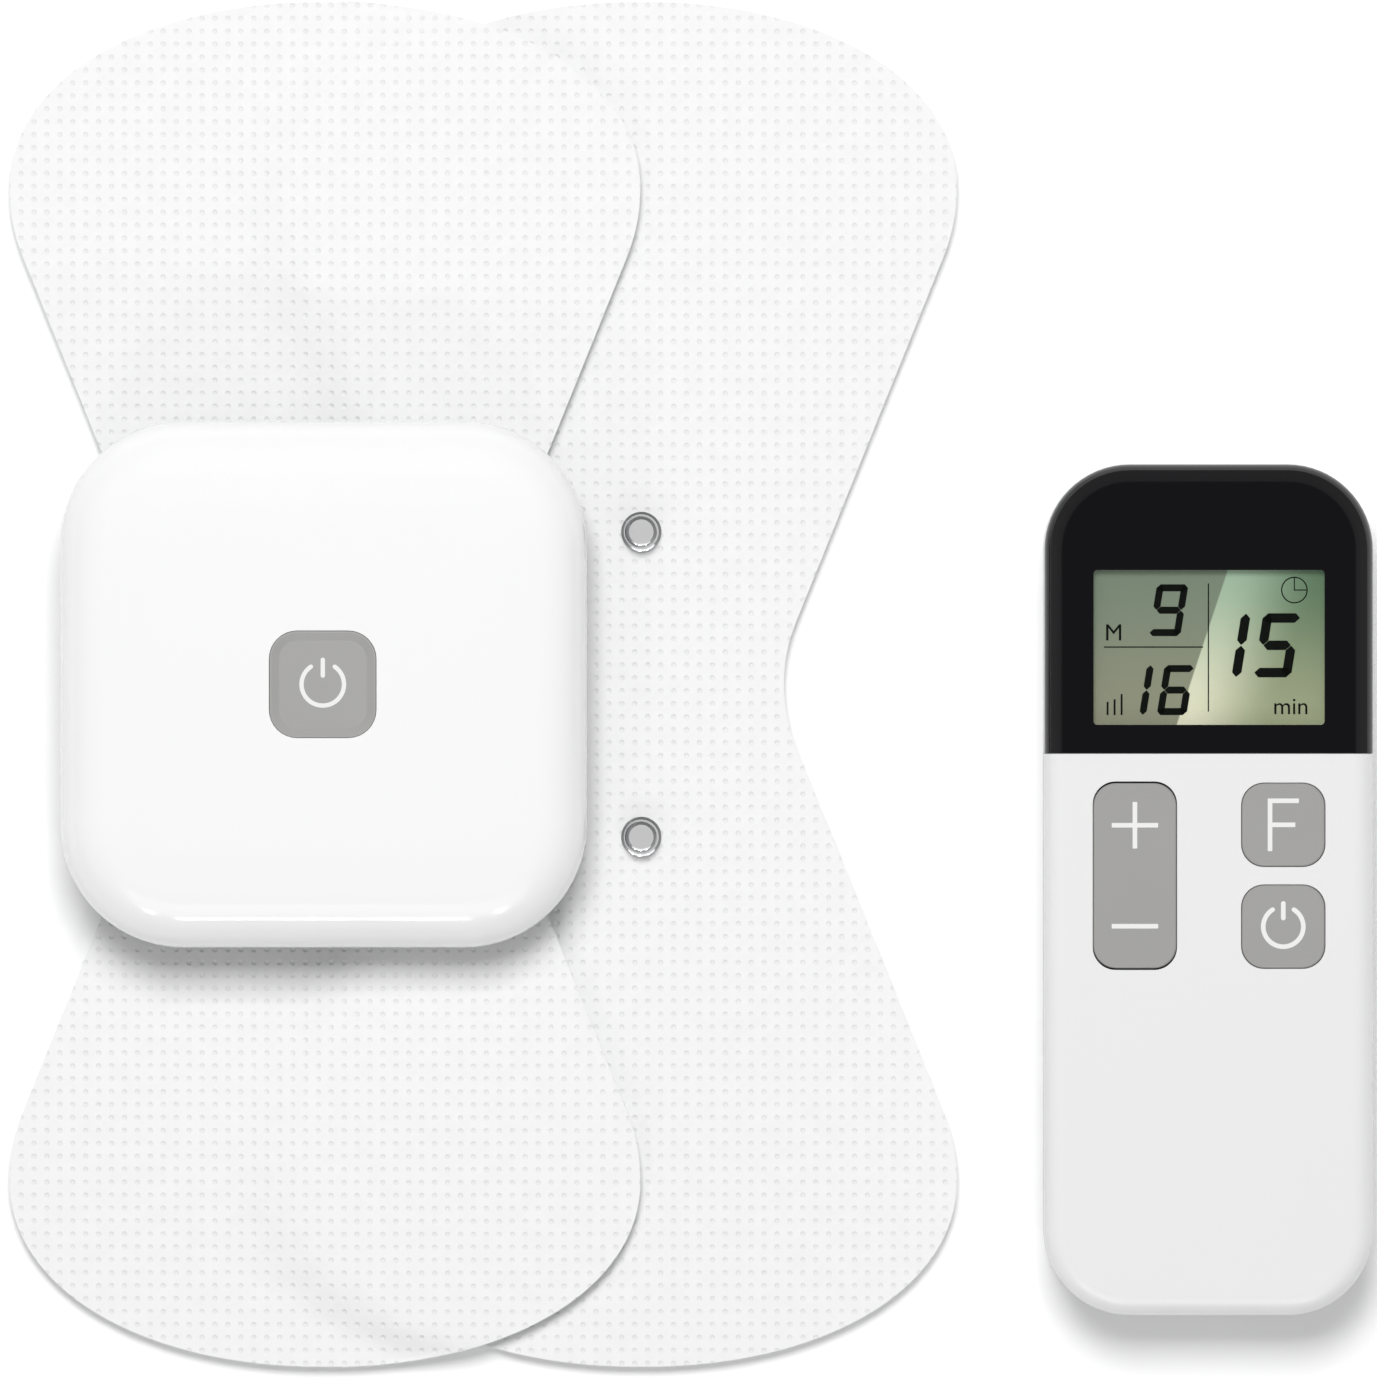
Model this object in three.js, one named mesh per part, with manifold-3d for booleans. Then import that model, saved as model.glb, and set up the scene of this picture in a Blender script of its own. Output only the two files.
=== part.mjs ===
// A wireless nerve-stimulation kit lying on a table: a bow-tie electrode pad with a square receiver
// clipped on it, a spare pad partly under it, and a remote control. Millimetres, +Z up, +Y along the pads.
// The origin is on the table, under the middle of the whole kit.
import * as THREE from "three";
import { mergeVertices } from "three/addons/utils/BufferGeometryUtils.js";
import Module from "manifold-3d";

const wasm = await Module();
wasm.setup();

// ---------- Clearances ----------
const layerGap = 0.05; // air between two layers that lie on each other
const fitGap = 0.25; // room round a piece that drops into an opening
const keyGap = 0.15; // narrow slit round a button or key
const partingGap = 0.1; // line between two halves of a case
const slack = 20; // how far a cutting block runs past what it cuts

// ---------- Electrode pads ----------
const padWidth = 72.2;
const padLength = 156.2;
const waistRadius = 18.85; // hollow of the waist
const shoulderRadius = 20.7;
const shoulderHeight = 56.7; // from the pad's middle to the widest place
const sideSlope = (22 * Math.PI) / 180; // the straight side leans this much from the pad's length
const lobeFullness = 2.1; // 2 is an ellipse, more is squarer
const linerThickness = 0.25;
const gelThickness = 0.8;
const filmThickness = 0.2;
const coverThickness = 0.45;
const linerInset = 0.6;
const gelInset = 1.2;
const filmInset = 2;
const poleGap = 12; // bare strip across the waist between the two electrodes
const studSpacing = 34.9;
const sparePeek = 0.1; // the spare pad's left end lies this far right of the front pad's middle line
const drapeRun = 7.5; // length of the slope where the front pad climbs onto the spare one
const drapeMargin = 3.2; // the slope ends this far before the spare pad's edge

// ---------- Snap studs ----------
const studFlangeRadius = 2.3;
const studFlangeHeight = 0.3;
const studNeckRadius = 1.5;
const studBulbRadius = 2;
const studTopRadius = 1.15;
const studHeight = 2.5;
const rivetRadius = 0.9;
const rivetFlangeRadius = 2.8;
const rivetFlangeHeight = 0.3;

// ---------- Receiver ----------
const receiverSize = 60;
const receiverCorner = 14;
const receiverWall = 1.6;
const receiverEdgeIn = 7; // the pillow edge runs this far in from the side
const receiverEdgeDown = 6; // and this far down from the top
const receiverFootEdge = 2.2;
const bossHeight = 1.6; // socket bosses stand out of the underside by this much
const bossRadius = 4.6;
const socketWall = 0.7;
const socketFlange = 0.9;
const socketGap = 0.15; // room round a stud's bulb
const buttonSize = 12.1;
const buttonCorner = 3.15;
const buttonRim = 1.3;
const buttonDish = 0.45;
const buttonLip = 0.9;
const buttonLipHeight = 0.6;
const gasketThickness = 0.25;
const buttonTravel = 0.5;
const plungerLength = 0.3;
const switchHeight = 2.5;
const boardThickness = 1;
const boardInset = 7; // from the case's side to the board's edge
const cellHeight = 3.7;
const cellWidth = 38;
const cellLength = 24;
const portWidth = 9;
const portHeight = 3.2;
const portDepth = 7.4;
const screwInset = 9; // from the case's side to its screws
const screwHeadRadius = 1.6;
const screwHeadHeight = 0.9;
const screwRadius = 0.8;
const postRadius = 2.4;

// ---------- Remote control ----------
const remoteGap = 9.85; // between the spare pad and the remote
const remoteDrop = 23.4; // the remote's middle lies this much below the pads' middle
const remoteWidth = 37.5;
const remoteLength = 97;
const remoteCorner = 9.75;
const remoteEdge = 2.4;
const remoteSplitRise = 0.95; // from the board's underside to the split between the two shells
const remoteWall = 1.5;
const panelLength = 33; // the black panel covers this much from the top end
const lensThickness = 1.2;
const carrierRim = 1; // wall of the frame that stands inside the black panel
const screenWidth = 26.3;
const screenLength = 17.6;
const screenTop = 12.1; // from the top end to the window
const screenBorder = 1.8; // the display glass is this much larger all round
const screenThickness = 2.2;
const keyWidth = 9.5;
const keySpace = 2.1; // between the two square keys
const keyMiddleGap = 7.4; // between the rocker and the square keys
const keyCorner = 2.6;
const keyThickness = 3.2;
const keyLip = 0.6;
const keyTravel = 0.45;
const functionFromTop = 41.1; // from the top end to the function key's middle
const rockerPress = 6.5; // the rocker's two switches stand this far from its pivot
const keypadThickness = 0.5;
const domeRadius = 2.5;
const domeHeight = 0.35;
const nubHeight = 0.6; // what stands under the keypad over each dome
const remoteBoardThickness = 1.2;
const coinRadius = 10;
const coinHeight = 3.2;
const coinFromBottom = 22;
const coinSpring = 1.65; // room for the spring contact over the cell
const remoteScrewSide = 6.55; // from the case's side to its screws
const remoteScrewEnd = 10; // from the case's top end to its screws
const doorWidth = 24;
const doorLength = 36;
const doorThickness = 1.5;
const doorTongue = 0.9;

// ---------- Heights that follow ----------
const gelBase = linerThickness + layerGap;
const filmBase = gelBase + gelThickness + layerGap;
const coverBase = filmBase + filmThickness + layerGap;
const padThickness = coverBase + coverThickness;
const drapeLift = padThickness + 2 * layerGap;
const studBase = padThickness + layerGap;
const bossBase = studBase + studFlangeHeight + 2 * layerGap;
const receiverBase = bossBase + bossHeight;
const receiverFloor = receiverBase + receiverWall;
const boardBase = receiverFloor + cellHeight + 3 * fitGap;
const boardTop = boardBase + boardThickness;
const receiverSplitZ = boardBase + 0.3;
const capBase = boardTop + switchHeight + buttonTravel + plungerLength + 3 * layerGap;
const gasketBase = capBase + buttonLipHeight + layerGap;
const receiverRoof = gasketBase + gasketThickness + layerGap;
const receiverTop = receiverRoof + receiverWall;
const receiverHeight = receiverTop - receiverBase;

// ---------- Places that follow ----------
// Between the two pads' middle lines: the spare pad's studs always stay clear of the receiver.
const studClearOfCase = receiverSize / 2 + studFlangeRadius + 2;
const padOffset = Math.max(padWidth / 2 + sparePeek, studClearOfCase);
const remoteMiddle = padOffset + padWidth / 2 + remoteGap + remoteWidth / 2;
const kitMiddle = (remoteMiddle + remoteWidth / 2 - padWidth / 2) / 2;

// ---------- Finishes ----------
const finish = (colour, roughness, metalness = 0) => ({ color: colour, roughness, metalness });
const whiteFabric = finish(0xf2f3f4, 0.9);
const carbonFilm = finish(0x2b2b2d, 0.6);
const clearGel = finish(0xd9e3e6, 0.3);
const linerFilm = finish(0xe3e8ea, 0.25);
const chrome = finish(0xc9ccd0, 0.15, 1);
const steel = finish(0xa9adb2, 0.35, 1);
const whiteGloss = finish(0xf6f7f8, 0.15);
const greySatin = finish(0xc3c6ca, 0.4);
const keyGrey = finish(0xa9adb3, 0.5);
const siliconeGrey = finish(0xd6d8da, 0.7);
const boardGreen = finish(0x1f6b43, 0.5);
const blackPlastic = finish(0x17181a, 0.4);
const blackGloss = finish(0x101113, 0.08);
const cellSilver = finish(0xb9bdc3, 0.3, 0.8);
const copper = finish(0xb87a4b, 0.35, 0.9);
const lightLens = finish(0xbfe8c4, 0.3);
const screenGlass = finish(0x8d9a85, 0.2);

const kit = new THREE.Group();
kit.position.set(-kitMiddle, 0, 0);

// Adds one named piece to a group.
function piece(group, name, geometry, look, x = 0, y = 0, z = 0) {
  const mesh = new THREE.Mesh(geometry, new THREE.MeshStandardMaterial(look));
  mesh.name = name;
  mesh.position.set(x, y, z);
  group.add(mesh);
  return mesh;
}

// ---------- Solids and how they are combined ----------
function toSolid(geometry) {
  const bare = new THREE.BufferGeometry();
  bare.setAttribute("position", geometry.getAttribute("position"));
  bare.setIndex(geometry.index);
  const welded = geometry.userData.welded ? bare : mergeVertices(bare, 1e-4);
  const mesh = new wasm.Mesh({
    numProp: 3,
    vertProperties: new Float32Array(welded.getAttribute("position").array),
    triVerts: new Uint32Array(welded.index.array),
  });
  return new wasm.Manifold(mesh);
}

function toGeometry(solid) {
  const mesh = solid.getMesh();
  const geometry = new THREE.BufferGeometry();
  geometry.setAttribute("position", new THREE.BufferAttribute(new Float32Array(mesh.vertProperties), 3));
  geometry.setIndex(new THREE.BufferAttribute(new Uint32Array(mesh.triVerts), 1));
  geometry.computeVertexNormals();
  geometry.userData.welded = true;
  return geometry;
}

function combine(operation, first, others) {
  let result = toSolid(first);
  for (const other of others) {
    result = result[operation](toSolid(other));
  }
  return toGeometry(result);
}

const cut = (base, ...tools) => combine("subtract", base, tools);
const join = (base, ...more) => combine("add", base, more);
const common = (base, ...more) => combine("intersect", base, more);

// A box standing on z, centred on x and y.
function box(width, length, height, x = 0, y = 0, z = 0) {
  return new THREE.BoxGeometry(width, length, height).translate(x, y, z + height / 2);
}

// An upright cylinder or cone standing on z.
function disc(radius, height, x = 0, y = 0, z = 0, topRadius = radius, sides = 20) {
  const geometry = new THREE.CylinderGeometry(topRadius, radius, height, sides);
  return geometry.rotateX(Math.PI / 2).translate(x, y, z + height / 2);
}

// A solid turned about the Z axis from [radius, height] points that start and end on the axis.
function turned(points, sides = 20) {
  const profile = points.map(([radius, height]) => new THREE.Vector2(radius, height));
  return new THREE.LatheGeometry(profile, sides).rotateX(Math.PI / 2);
}

function roundedOutline(width, length, radius) {
  const x = width / 2;
  const y = length / 2;
  const shape = new THREE.Shape();
  shape.moveTo(-x + radius, -y);
  shape.lineTo(x - radius, -y);
  shape.absarc(x - radius, -y + radius, radius, -Math.PI / 2, 0);
  shape.lineTo(x, y - radius);
  shape.absarc(x - radius, y - radius, radius, 0, Math.PI / 2);
  shape.lineTo(-x + radius, y);
  shape.absarc(-x + radius, y - radius, radius, Math.PI / 2, Math.PI);
  shape.lineTo(-x, -y + radius);
  shape.absarc(-x + radius, -y + radius, radius, Math.PI, Math.PI * 1.5);
  return shape;
}

// A plate with rounded corners and square edges, standing on z.
function plate(width, length, height, radius, x = 0, y = 0, z = 0, curveSegments = 3) {
  const shape = roundedOutline(width, length, radius);
  const options = { depth: height, bevelEnabled: false, curveSegments };
  return new THREE.ExtrudeGeometry(shape, options).translate(x, y, z);
}

// A rounded block whose top and bottom edges roll over: "edgeIn" across and "edgeDown" in height.
function pillow(width, length, height, radius, edgeIn, edgeDown, z = 0, curveSegments = 5, bevelSegments = 3) {
  const options = {
    depth: height - 2 * edgeDown,
    bevelThickness: edgeDown,
    bevelSize: edgeIn,
    bevelOffset: -edgeIn,
    bevelSegments,
    curveSegments,
  };
  const shape = roundedOutline(width, length, radius);
  return new THREE.ExtrudeGeometry(shape, options).translate(0, 0, z + edgeDown);
}

// ---------- Electrode pads ----------
// Half the pad's width at a distance along it, for a pad cut smaller by "inset" all round.
function padHalfWidth(along, inset = 0) {
  const y = Math.abs(along) * (padLength / (padLength - 2 * inset));
  const half = padWidth / 2;
  const shoulderEnd = shoulderHeight - shoulderRadius * Math.sin(sideSlope);
  const sideTop = half - shoulderRadius * (1 - Math.cos(sideSlope));
  const sharpWaist = sideTop - Math.tan(sideSlope) * shoulderEnd;
  const waistHalf = sharpWaist + waistRadius * (1 / Math.cos(sideSlope) - 1);
  const waistEnd = waistRadius * Math.sin(sideSlope);
  if (y <= waistEnd) {
    return waistHalf + waistRadius - Math.sqrt(waistRadius ** 2 - y ** 2) - inset;
  }
  if (y <= shoulderEnd) {
    return sharpWaist + Math.tan(sideSlope) * y - inset;
  }
  if (y <= shoulderHeight) {
    return half - shoulderRadius + Math.sqrt(shoulderRadius ** 2 - (shoulderHeight - y) ** 2) - inset;
  }
  const rise = Math.min((y - shoulderHeight) / (padLength / 2 - shoulderHeight), 1);
  return half * (1 - rise ** lobeFullness) ** (1 / lobeFullness) - inset;
}

// Places along the pad where its sheets have a row of points: close together where the outline curves.
function padRows(low, high, inset) {
  const endCap = padLength / 2 - inset - shoulderHeight;
  const rows = [0, 3.5, 6, 8, 10, 14, 21, 30, 39, 48.5, 51.5, 54, shoulderHeight];
  for (let step = 1; step <= 9; step += 1) {
    const turn = (step / 9) * (84 * Math.PI) / 180;
    rows.push(shoulderHeight + endCap * Math.sin(turn));
  }
  const both = [...rows.slice(1).reverse().map((y) => -y), ...rows];
  const between = both.filter((y) => y > low + 0.5 && y < high - 0.5);
  const first = Math.max(low, both[0]);
  const last = Math.min(high, both[both.length - 1]);
  return [first, ...between.filter((y) => y > first && y < last), last];
}

// How far the front pad is lifted at a point, where it climbs onto the spare pad.
function drapeHeight(x, y) {
  const top = padOffset - padHalfWidth(y) - drapeMargin;
  const share = THREE.MathUtils.clamp((x - top + drapeRun) / drapeRun, 0, 1);
  return drapeLift * share * share * (3 - 2 * share);
}

// Places across a row: straight across a flat sheet, and with points on the slope of a draped one.
function padColumns(y, inset, draped) {
  const half = Math.max(padHalfWidth(y, inset), 1.5);
  if (!draped) {
    return [-half, half];
  }
  const top = padOffset - padHalfWidth(y) - drapeMargin;
  const columns = [-half];
  for (let step = 0; step <= 3; step += 1) {
    const wanted = top - drapeRun * (1 - step / 3);
    columns.push(Math.min(wanted, half - 0.3 * (4 - step)));
  }
  columns.push(half);
  return columns;
}

// One closed sheet in the pad's cut: "base" is its underside's height on the table.
function padSheet(inset, base, thickness, draped, low = -padLength, high = padLength) {
  const rows = padRows(low, high, inset);
  const across = padColumns(0, inset, draped).length;
  const points = [];
  for (const side of [0, 1]) {
    for (const y of rows) {
      for (const x of padColumns(y, inset, draped)) {
        const lift = draped ? drapeHeight(x, y) : 0;
        points.push(x, y, base + side * thickness + lift);
      }
    }
  }
  const index = [];
  const at = (side, row, column) => side * rows.length * across + row * across + column;
  const quad = (a, b, c, d) => index.push(a, b, c, a, c, d);
  const lastRow = rows.length - 1;
  const lastColumn = across - 1;
  for (let row = 0; row < lastRow; row += 1) {
    for (let column = 0; column < lastColumn; column += 1) {
      quad(at(1, row, column), at(1, row, column + 1), at(1, row + 1, column + 1), at(1, row + 1, column));
      quad(at(0, row, column), at(0, row + 1, column), at(0, row + 1, column + 1), at(0, row, column + 1));
    }
    quad(at(0, row, 0), at(1, row, 0), at(1, row + 1, 0), at(0, row + 1, 0));
    quad(at(0, row, lastColumn), at(0, row + 1, lastColumn), at(1, row + 1, lastColumn), at(1, row, lastColumn));
  }
  for (let column = 0; column < lastColumn; column += 1) {
    quad(at(0, 0, column), at(0, 0, column + 1), at(1, 0, column + 1), at(1, 0, column));
    quad(at(0, lastRow, column), at(1, lastRow, column), at(1, lastRow, column + 1), at(0, lastRow, column + 1));
  }
  const geometry = new THREE.BufferGeometry();
  geometry.setAttribute("position", new THREE.Float32BufferAttribute(points, 3));
  geometry.setIndex(index);
  geometry.computeVertexNormals();
  return geometry;
}

// A layer of a pad: a whole sheet, cut to its own inset outline so that all layers bend alike.
function padLayer(inset, base, thickness, draped, low, high) {
  if (!draped) {
    return padSheet(inset, base, thickness, false, low, high);
  }
  const cutter = padSheet(inset, base - slack, 2 * slack, false, low, high);
  return common(padSheet(0, base, thickness, true), cutter);
}

// The turned male stud: flange, neck and bulb, hollow below for the eyelet's post.
function studGeometry() {
  const socketTop = studHeight - 0.7;
  return turned([
    [0, socketTop],
    [rivetRadius + 0.1, socketTop],
    [rivetRadius + 0.1, 0],
    [studFlangeRadius, 0],
    [studFlangeRadius, studFlangeHeight],
    [studNeckRadius, studFlangeHeight + 0.1],
    [studNeckRadius, studHeight * 0.36],
    [studBulbRadius, studHeight * 0.6],
    [studBulbRadius, studHeight * 0.78],
    [studTopRadius + 0.3, studHeight * 0.96],
    [studTopRadius, studHeight],
    [0, studHeight],
  ]);
}

// The eyelet: a thin flange under the film and a post riveted up inside the stud.
function eyeletGeometry(postTop) {
  return turned([
    [0, 0],
    [rivetFlangeRadius, 0],
    [rivetFlangeRadius, rivetFlangeHeight],
    [rivetRadius, rivetFlangeHeight],
    [rivetRadius, postTop],
    [0, postTop],
  ]);
}

function electrodePad(prefix, draped) {
  const pad = new THREE.Group();
  const studPlaces = [["upper", studSpacing / 2], ["lower", -studSpacing / 2]];
  const pins = studPlaces.map(([, y]) => disc(rivetRadius + fitGap, slack, 0, y, -1));
  const eyeletBase = filmBase - layerGap - rivetFlangeHeight;
  const cover = cut(padSheet(0, coverBase, coverThickness, draped), ...pins);
  piece(pad, `${prefix}_cover`, cover, whiteFabric);
  piece(pad, `${prefix}_liner`, padLayer(linerInset, 0, linerThickness, draped), linerFilm);
  studPlaces.forEach(([place, y], index) => {
    const low = y > 0 ? poleGap / 2 : -padLength;
    const high = y > 0 ? padLength : -poleGap / 2;
    const pocket = disc(rivetFlangeRadius + fitGap, slack, 0, y, eyeletBase - layerGap);
    const film = cut(padLayer(filmInset, filmBase, filmThickness, draped, low, high), pins[index]);
    const gel = cut(padLayer(gelInset, gelBase, gelThickness, draped, low, high), pocket);
    piece(pad, `${prefix}_film_${place}`, film, carbonFilm);
    piece(pad, `${prefix}_gel_${place}`, gel, clearGel);
    const postTop = studBase + studHeight - 0.8 - eyeletBase;
    piece(pad, `${prefix}_eyelet_${place}`, eyeletGeometry(postTop), steel, 0, y, eyeletBase);
    piece(pad, `${prefix}_stud_${place}`, studGeometry(), chrome, 0, y, studBase);
  });
  return pad;
}

// ---------- Screws, shared by both cases: head down, shank up ----------
function screwGeometry(length) {
  const head = disc(screwHeadRadius, screwHeadHeight, 0, 0, 0, screwHeadRadius, 14);
  const shank = disc(screwRadius, length, 0, 0, screwHeadHeight - 0.1, screwRadius * 0.8, 10);
  const slotA = box(screwHeadRadius * 1.2, 0.4, 0.9, 0, 0, -0.4);
  const slotB = box(0.4, screwHeadRadius * 1.2, 0.9, 0, 0, -0.4);
  return cut(join(head, shank), join(slotA, slotB));
}

// ---------- Receiver ----------
const studYs = [studSpacing / 2, -studSpacing / 2];
const screwReach = receiverSize / 2 - screwInset;
const receiverScrews = [
  [screwReach, screwReach],
  [-screwReach, screwReach],
  [-screwReach, -screwReach],
  [screwReach, -screwReach],
];

// The case's outer form cut smaller by "inset", long enough below to be cut off at the split.
function receiverLid(inset) {
  const size = receiverSize - 2 * inset;
  const height = 2 * receiverEdgeDown + 6;
  const base = receiverTop - inset - height;
  return pillow(size, size, height, receiverCorner - inset, receiverEdgeIn, receiverEdgeDown, base);
}

function receiverTray(inset) {
  const size = receiverSize - 2 * inset;
  const edge = receiverFootEdge;
  return pillow(size, size, receiverHeight, receiverCorner - inset, edge, edge, receiverBase + inset);
}

const overSplit = (z) => box(2 * receiverSize, 2 * receiverSize, slack, 0, 0, z);

function receiverBottomShell() {
  const outer = receiverTray(0);
  const inner = receiverTray(receiverWall);
  const bosses = studYs.map((y) => disc(bossRadius, bossHeight + receiverWall, 0, y, bossBase));
  const posts = receiverScrews.map(([x, y]) => {
    const height = boardBase - receiverBase - 2 * fitGap;
    return disc(postRadius, height, x, y, receiverBase + 0.2, postRadius, 14);
  });
  const shell = join(cut(outer, inner, overSplit(receiverSplitZ)), ...bosses, ...posts);
  const socketHole = studBulbRadius + socketGap + socketWall + fitGap;
  const holes = studYs.map((y) => disc(socketHole, slack, 0, y, bossBase - 1));
  for (const [x, y] of receiverScrews) {
    holes.push(disc(screwRadius + fitGap, slack, x, y, receiverBase - 1, screwRadius + fitGap, 12));
    holes.push(disc(screwHeadRadius + fitGap, screwHeadHeight + fitGap, x, y, receiverBase - 0.05));
  }
  const portZ = boardBase - portHeight - 0.2;
  const port = box(portWidth + 2 * fitGap, slack, portHeight + fitGap, 0, -receiverSize / 2, portZ - 0.1);
  return cut(shell, ...holes, port);
}

function receiverTopShell() {
  const outer = receiverLid(0);
  const inner = receiverLid(receiverWall);
  const lid = cut(outer, inner);
  const columnBase = boardTop + fitGap;
  const columns = receiverScrews.map(([x, y]) => {
    return disc(postRadius, receiverTop - columnBase, x, y, columnBase, postRadius, 14);
  });
  const whole = common(join(lid, ...columns), outer);
  const below = box(2 * receiverSize, 2 * receiverSize, slack, 0, 0, receiverSplitZ + partingGap - slack);
  const bores = receiverScrews.map(([x, y]) => disc(screwRadius + 0.1, 3.6, x, y, columnBase - 1));
  const openSize = buttonSize + 2 * keyGap;
  const opening = plate(openSize, openSize, slack, buttonCorner + keyGap, 0, 0, receiverRoof - 3);
  return cut(whole, below, ...bores, opening);
}

// A dished square cap, a lip that holds it in and a plunger that meets the switch.
function powerButtonGeometry() {
  const capHeight = receiverWall + gasketThickness + 2 * layerGap + buttonLipHeight;
  const cap = plate(buttonSize, buttonSize, capHeight, buttonCorner);
  const floorSize = buttonSize - 2 * buttonRim;
  const dish = pillow(floorSize + 1.6, floorSize + 1.6, 4, buttonCorner - 0.5, 0.8, buttonDish, 0, 3, 1);
  dish.translate(0, 0, capHeight - buttonDish);
  const lipSize = buttonSize + 2 * buttonLip;
  const lip = plate(lipSize, lipSize, buttonLipHeight, buttonCorner + buttonLip);
  const plunger = disc(1.5, plungerLength + 0.1, 0, 0, -plungerLength);
  return cut(join(cap, lip, plunger), dish);
}

function gasketGeometry() {
  const outer = buttonSize + 2 * buttonLip + 1.2;
  const hole = buttonSize + 2 * keyGap + 0.4;
  const ring = plate(outer, outer, gasketThickness, buttonCorner + 1.5);
  return cut(ring, plate(hole, hole, slack, buttonCorner + 0.4, 0, 0, -1));
}

function receiverBoard() {
  const size = receiverSize - 2 * boardInset;
  const board = plate(size, size, boardThickness, 6);
  const notches = receiverScrews.map(([x, y]) => disc(postRadius + 2 * fitGap, slack, x, y, -1));
  return cut(board, ...notches);
}

// The female snap socket: a cup open below, a flange on the case floor and a pin up to the board.
function socketGeometry() {
  const bore = studBulbRadius + socketGap;
  const wall = bore + socketWall;
  const cupTop = receiverFloor + layerGap - bossBase - layerGap;
  const ceiling = cupTop - 0.2;
  const pinTop = boardBase - layerGap - bossBase - layerGap;
  return turned([
    [0, ceiling],
    [bore, ceiling],
    [bore, 0],
    [wall, 0],
    [wall, cupTop],
    [wall + socketFlange, cupTop],
    [wall + socketFlange, cupTop + 0.35],
    [0.5, cupTop + 0.35],
    [0.5, pinTop],
    [0, pinTop],
  ]);
}

function chargingPort() {
  const shell = plate(portWidth, portHeight, portDepth, portHeight / 2 - 0.05);
  const mouth = plate(portWidth - 0.7, portHeight - 0.7, portDepth, portHeight / 2 - 0.4, 0, 0, 1);
  const tongue = box(portWidth - 2.4, 0.7, portDepth - 2, 0, 0, 0.5);
  return join(cut(shell, mouth), tongue).rotateX(Math.PI / 2);
}

function pushSwitch() {
  const base = plate(6, 6, switchHeight - 0.4, 0.5);
  return join(base, disc(1.7, 0.5, 0, 0, switchHeight - 0.5, 1.7, 20));
}

// A wound coil on a drum: two flanges with the winding between them.
function pulseCoil() {
  return turned([[0, 0], [4, 0], [4, 0.6], [3.4, 0.9], [3.4, 2.4], [4, 2.7], [4, 3.3], [0, 3.3]], 16);
}

function receiver() {
  const group = new THREE.Group();
  const onBoard = boardTop + layerGap;
  piece(group, "receiver_bottom_shell", receiverBottomShell(), greySatin);
  piece(group, "receiver_top_shell", receiverTopShell(), whiteGloss);
  piece(group, "receiver_power_button", powerButtonGeometry(), keyGrey, 0, 0, capBase);
  piece(group, "receiver_button_gasket", gasketGeometry(), siliconeGrey, 0, 0, gasketBase);
  piece(group, "receiver_switch", pushSwitch(), blackPlastic, 0, 0, onBoard);
  piece(group, "receiver_board", receiverBoard(), boardGreen, 0, 0, boardBase);
  const cell = plate(cellWidth, cellLength, cellHeight, 1.2);
  piece(group, "receiver_cell", cell, cellSilver, 0, 0, receiverFloor + fitGap);
  piece(group, "receiver_radio_chip", box(6, 6, 0.9), blackPlastic, 12, 9, onBoard);
  piece(group, "receiver_status_light", box(1.6, 0.8, 0.6), lightLens, 0, 5.2, onBoard);
  piece(group, "receiver_pulse_coil", pulseCoil(), copper, -14, -9, onBoard);
  const portY = -receiverSize / 2 + 0.3 + portDepth;
  const portZ = boardBase - layerGap - portHeight / 2;
  piece(group, "receiver_charging_port", chargingPort(), steel, 0, portY, portZ);
  studYs.forEach((y, index) => {
    const place = ["upper", "lower"][index];
    piece(group, `receiver_socket_${place}`, socketGeometry(), chrome, 0, y, bossBase + layerGap);
  });
  receiverScrews.forEach(([x, y], index) => {
    const screwLength = boardTop - receiverBase + 1.2;
    const screw = screwGeometry(screwLength);
    piece(group, `receiver_screw_${index + 1}`, screw, steel, x, y, receiverBase + 0.1);
  });
  return group;
}

// ---------- Remote control: its own origin is under its middle, with +Z through its front ----------
const coinBase = doorThickness + 2 * layerGap;
const remoteBoardBase = coinBase + coinHeight + coinSpring;
const domeBase = remoteBoardBase + remoteBoardThickness + layerGap;
const keypadBase = domeBase + domeHeight + nubHeight + 2 * layerGap;
const keyBase = keypadBase + keypadThickness + keyTravel + 2 * layerGap;
const remoteThickness = keyBase + keyThickness;
const remoteSplit = remoteBoardBase + remoteSplitRise;
const remoteTop = remoteLength / 2;
const panelEdge = remoteTop - panelLength;
const lensBase = remoteThickness - lensThickness;
const shelfTop = lensBase - 2 * layerGap;
const shelfBase = shelfTop - remoteWall;
const screenY = remoteTop - screenTop - screenLength / 2;
const coinY = -remoteTop + coinFromBottom;
const keyColumn = (keyWidth + keyMiddleGap) / 2;
const functionY = remoteTop - functionFromTop;
const powerY = functionY - keyWidth - keySpace;
const rockerY = (functionY + powerY) / 2;
const rockerLength = 2 * keyWidth + keySpace;
const keyPlaces = [
  ["rocker", -keyColumn, rockerY, rockerLength],
  ["function", keyColumn, functionY, keyWidth],
  ["power", keyColumn, powerY, keyWidth],
];
const domePlaces = [
  ["plus", -keyColumn, rockerY + rockerPress],
  ["minus", -keyColumn, rockerY - rockerPress],
  ["function", keyColumn, functionY],
  ["power", keyColumn, powerY],
];
const keypadLow = powerY - keyWidth / 2 - 4;
const keypadHigh = rockerY + rockerLength / 2 + 2;
const remoteScrewX = remoteWidth / 2 - remoteScrewSide;
const remoteScrewY = remoteTop - remoteScrewEnd;
const remoteScrews = [[-remoteScrewX, remoteScrewY], [remoteScrewX, remoteScrewY]];

function remoteBody(inset) {
  const width = remoteWidth - 2 * inset;
  const length = remoteLength - 2 * inset;
  const edge = Math.max(remoteEdge - inset / 2, 0.6);
  const height = remoteThickness - 2 * inset;
  return pillow(width, length, height, remoteCorner - inset, edge, edge, inset);
}

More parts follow.
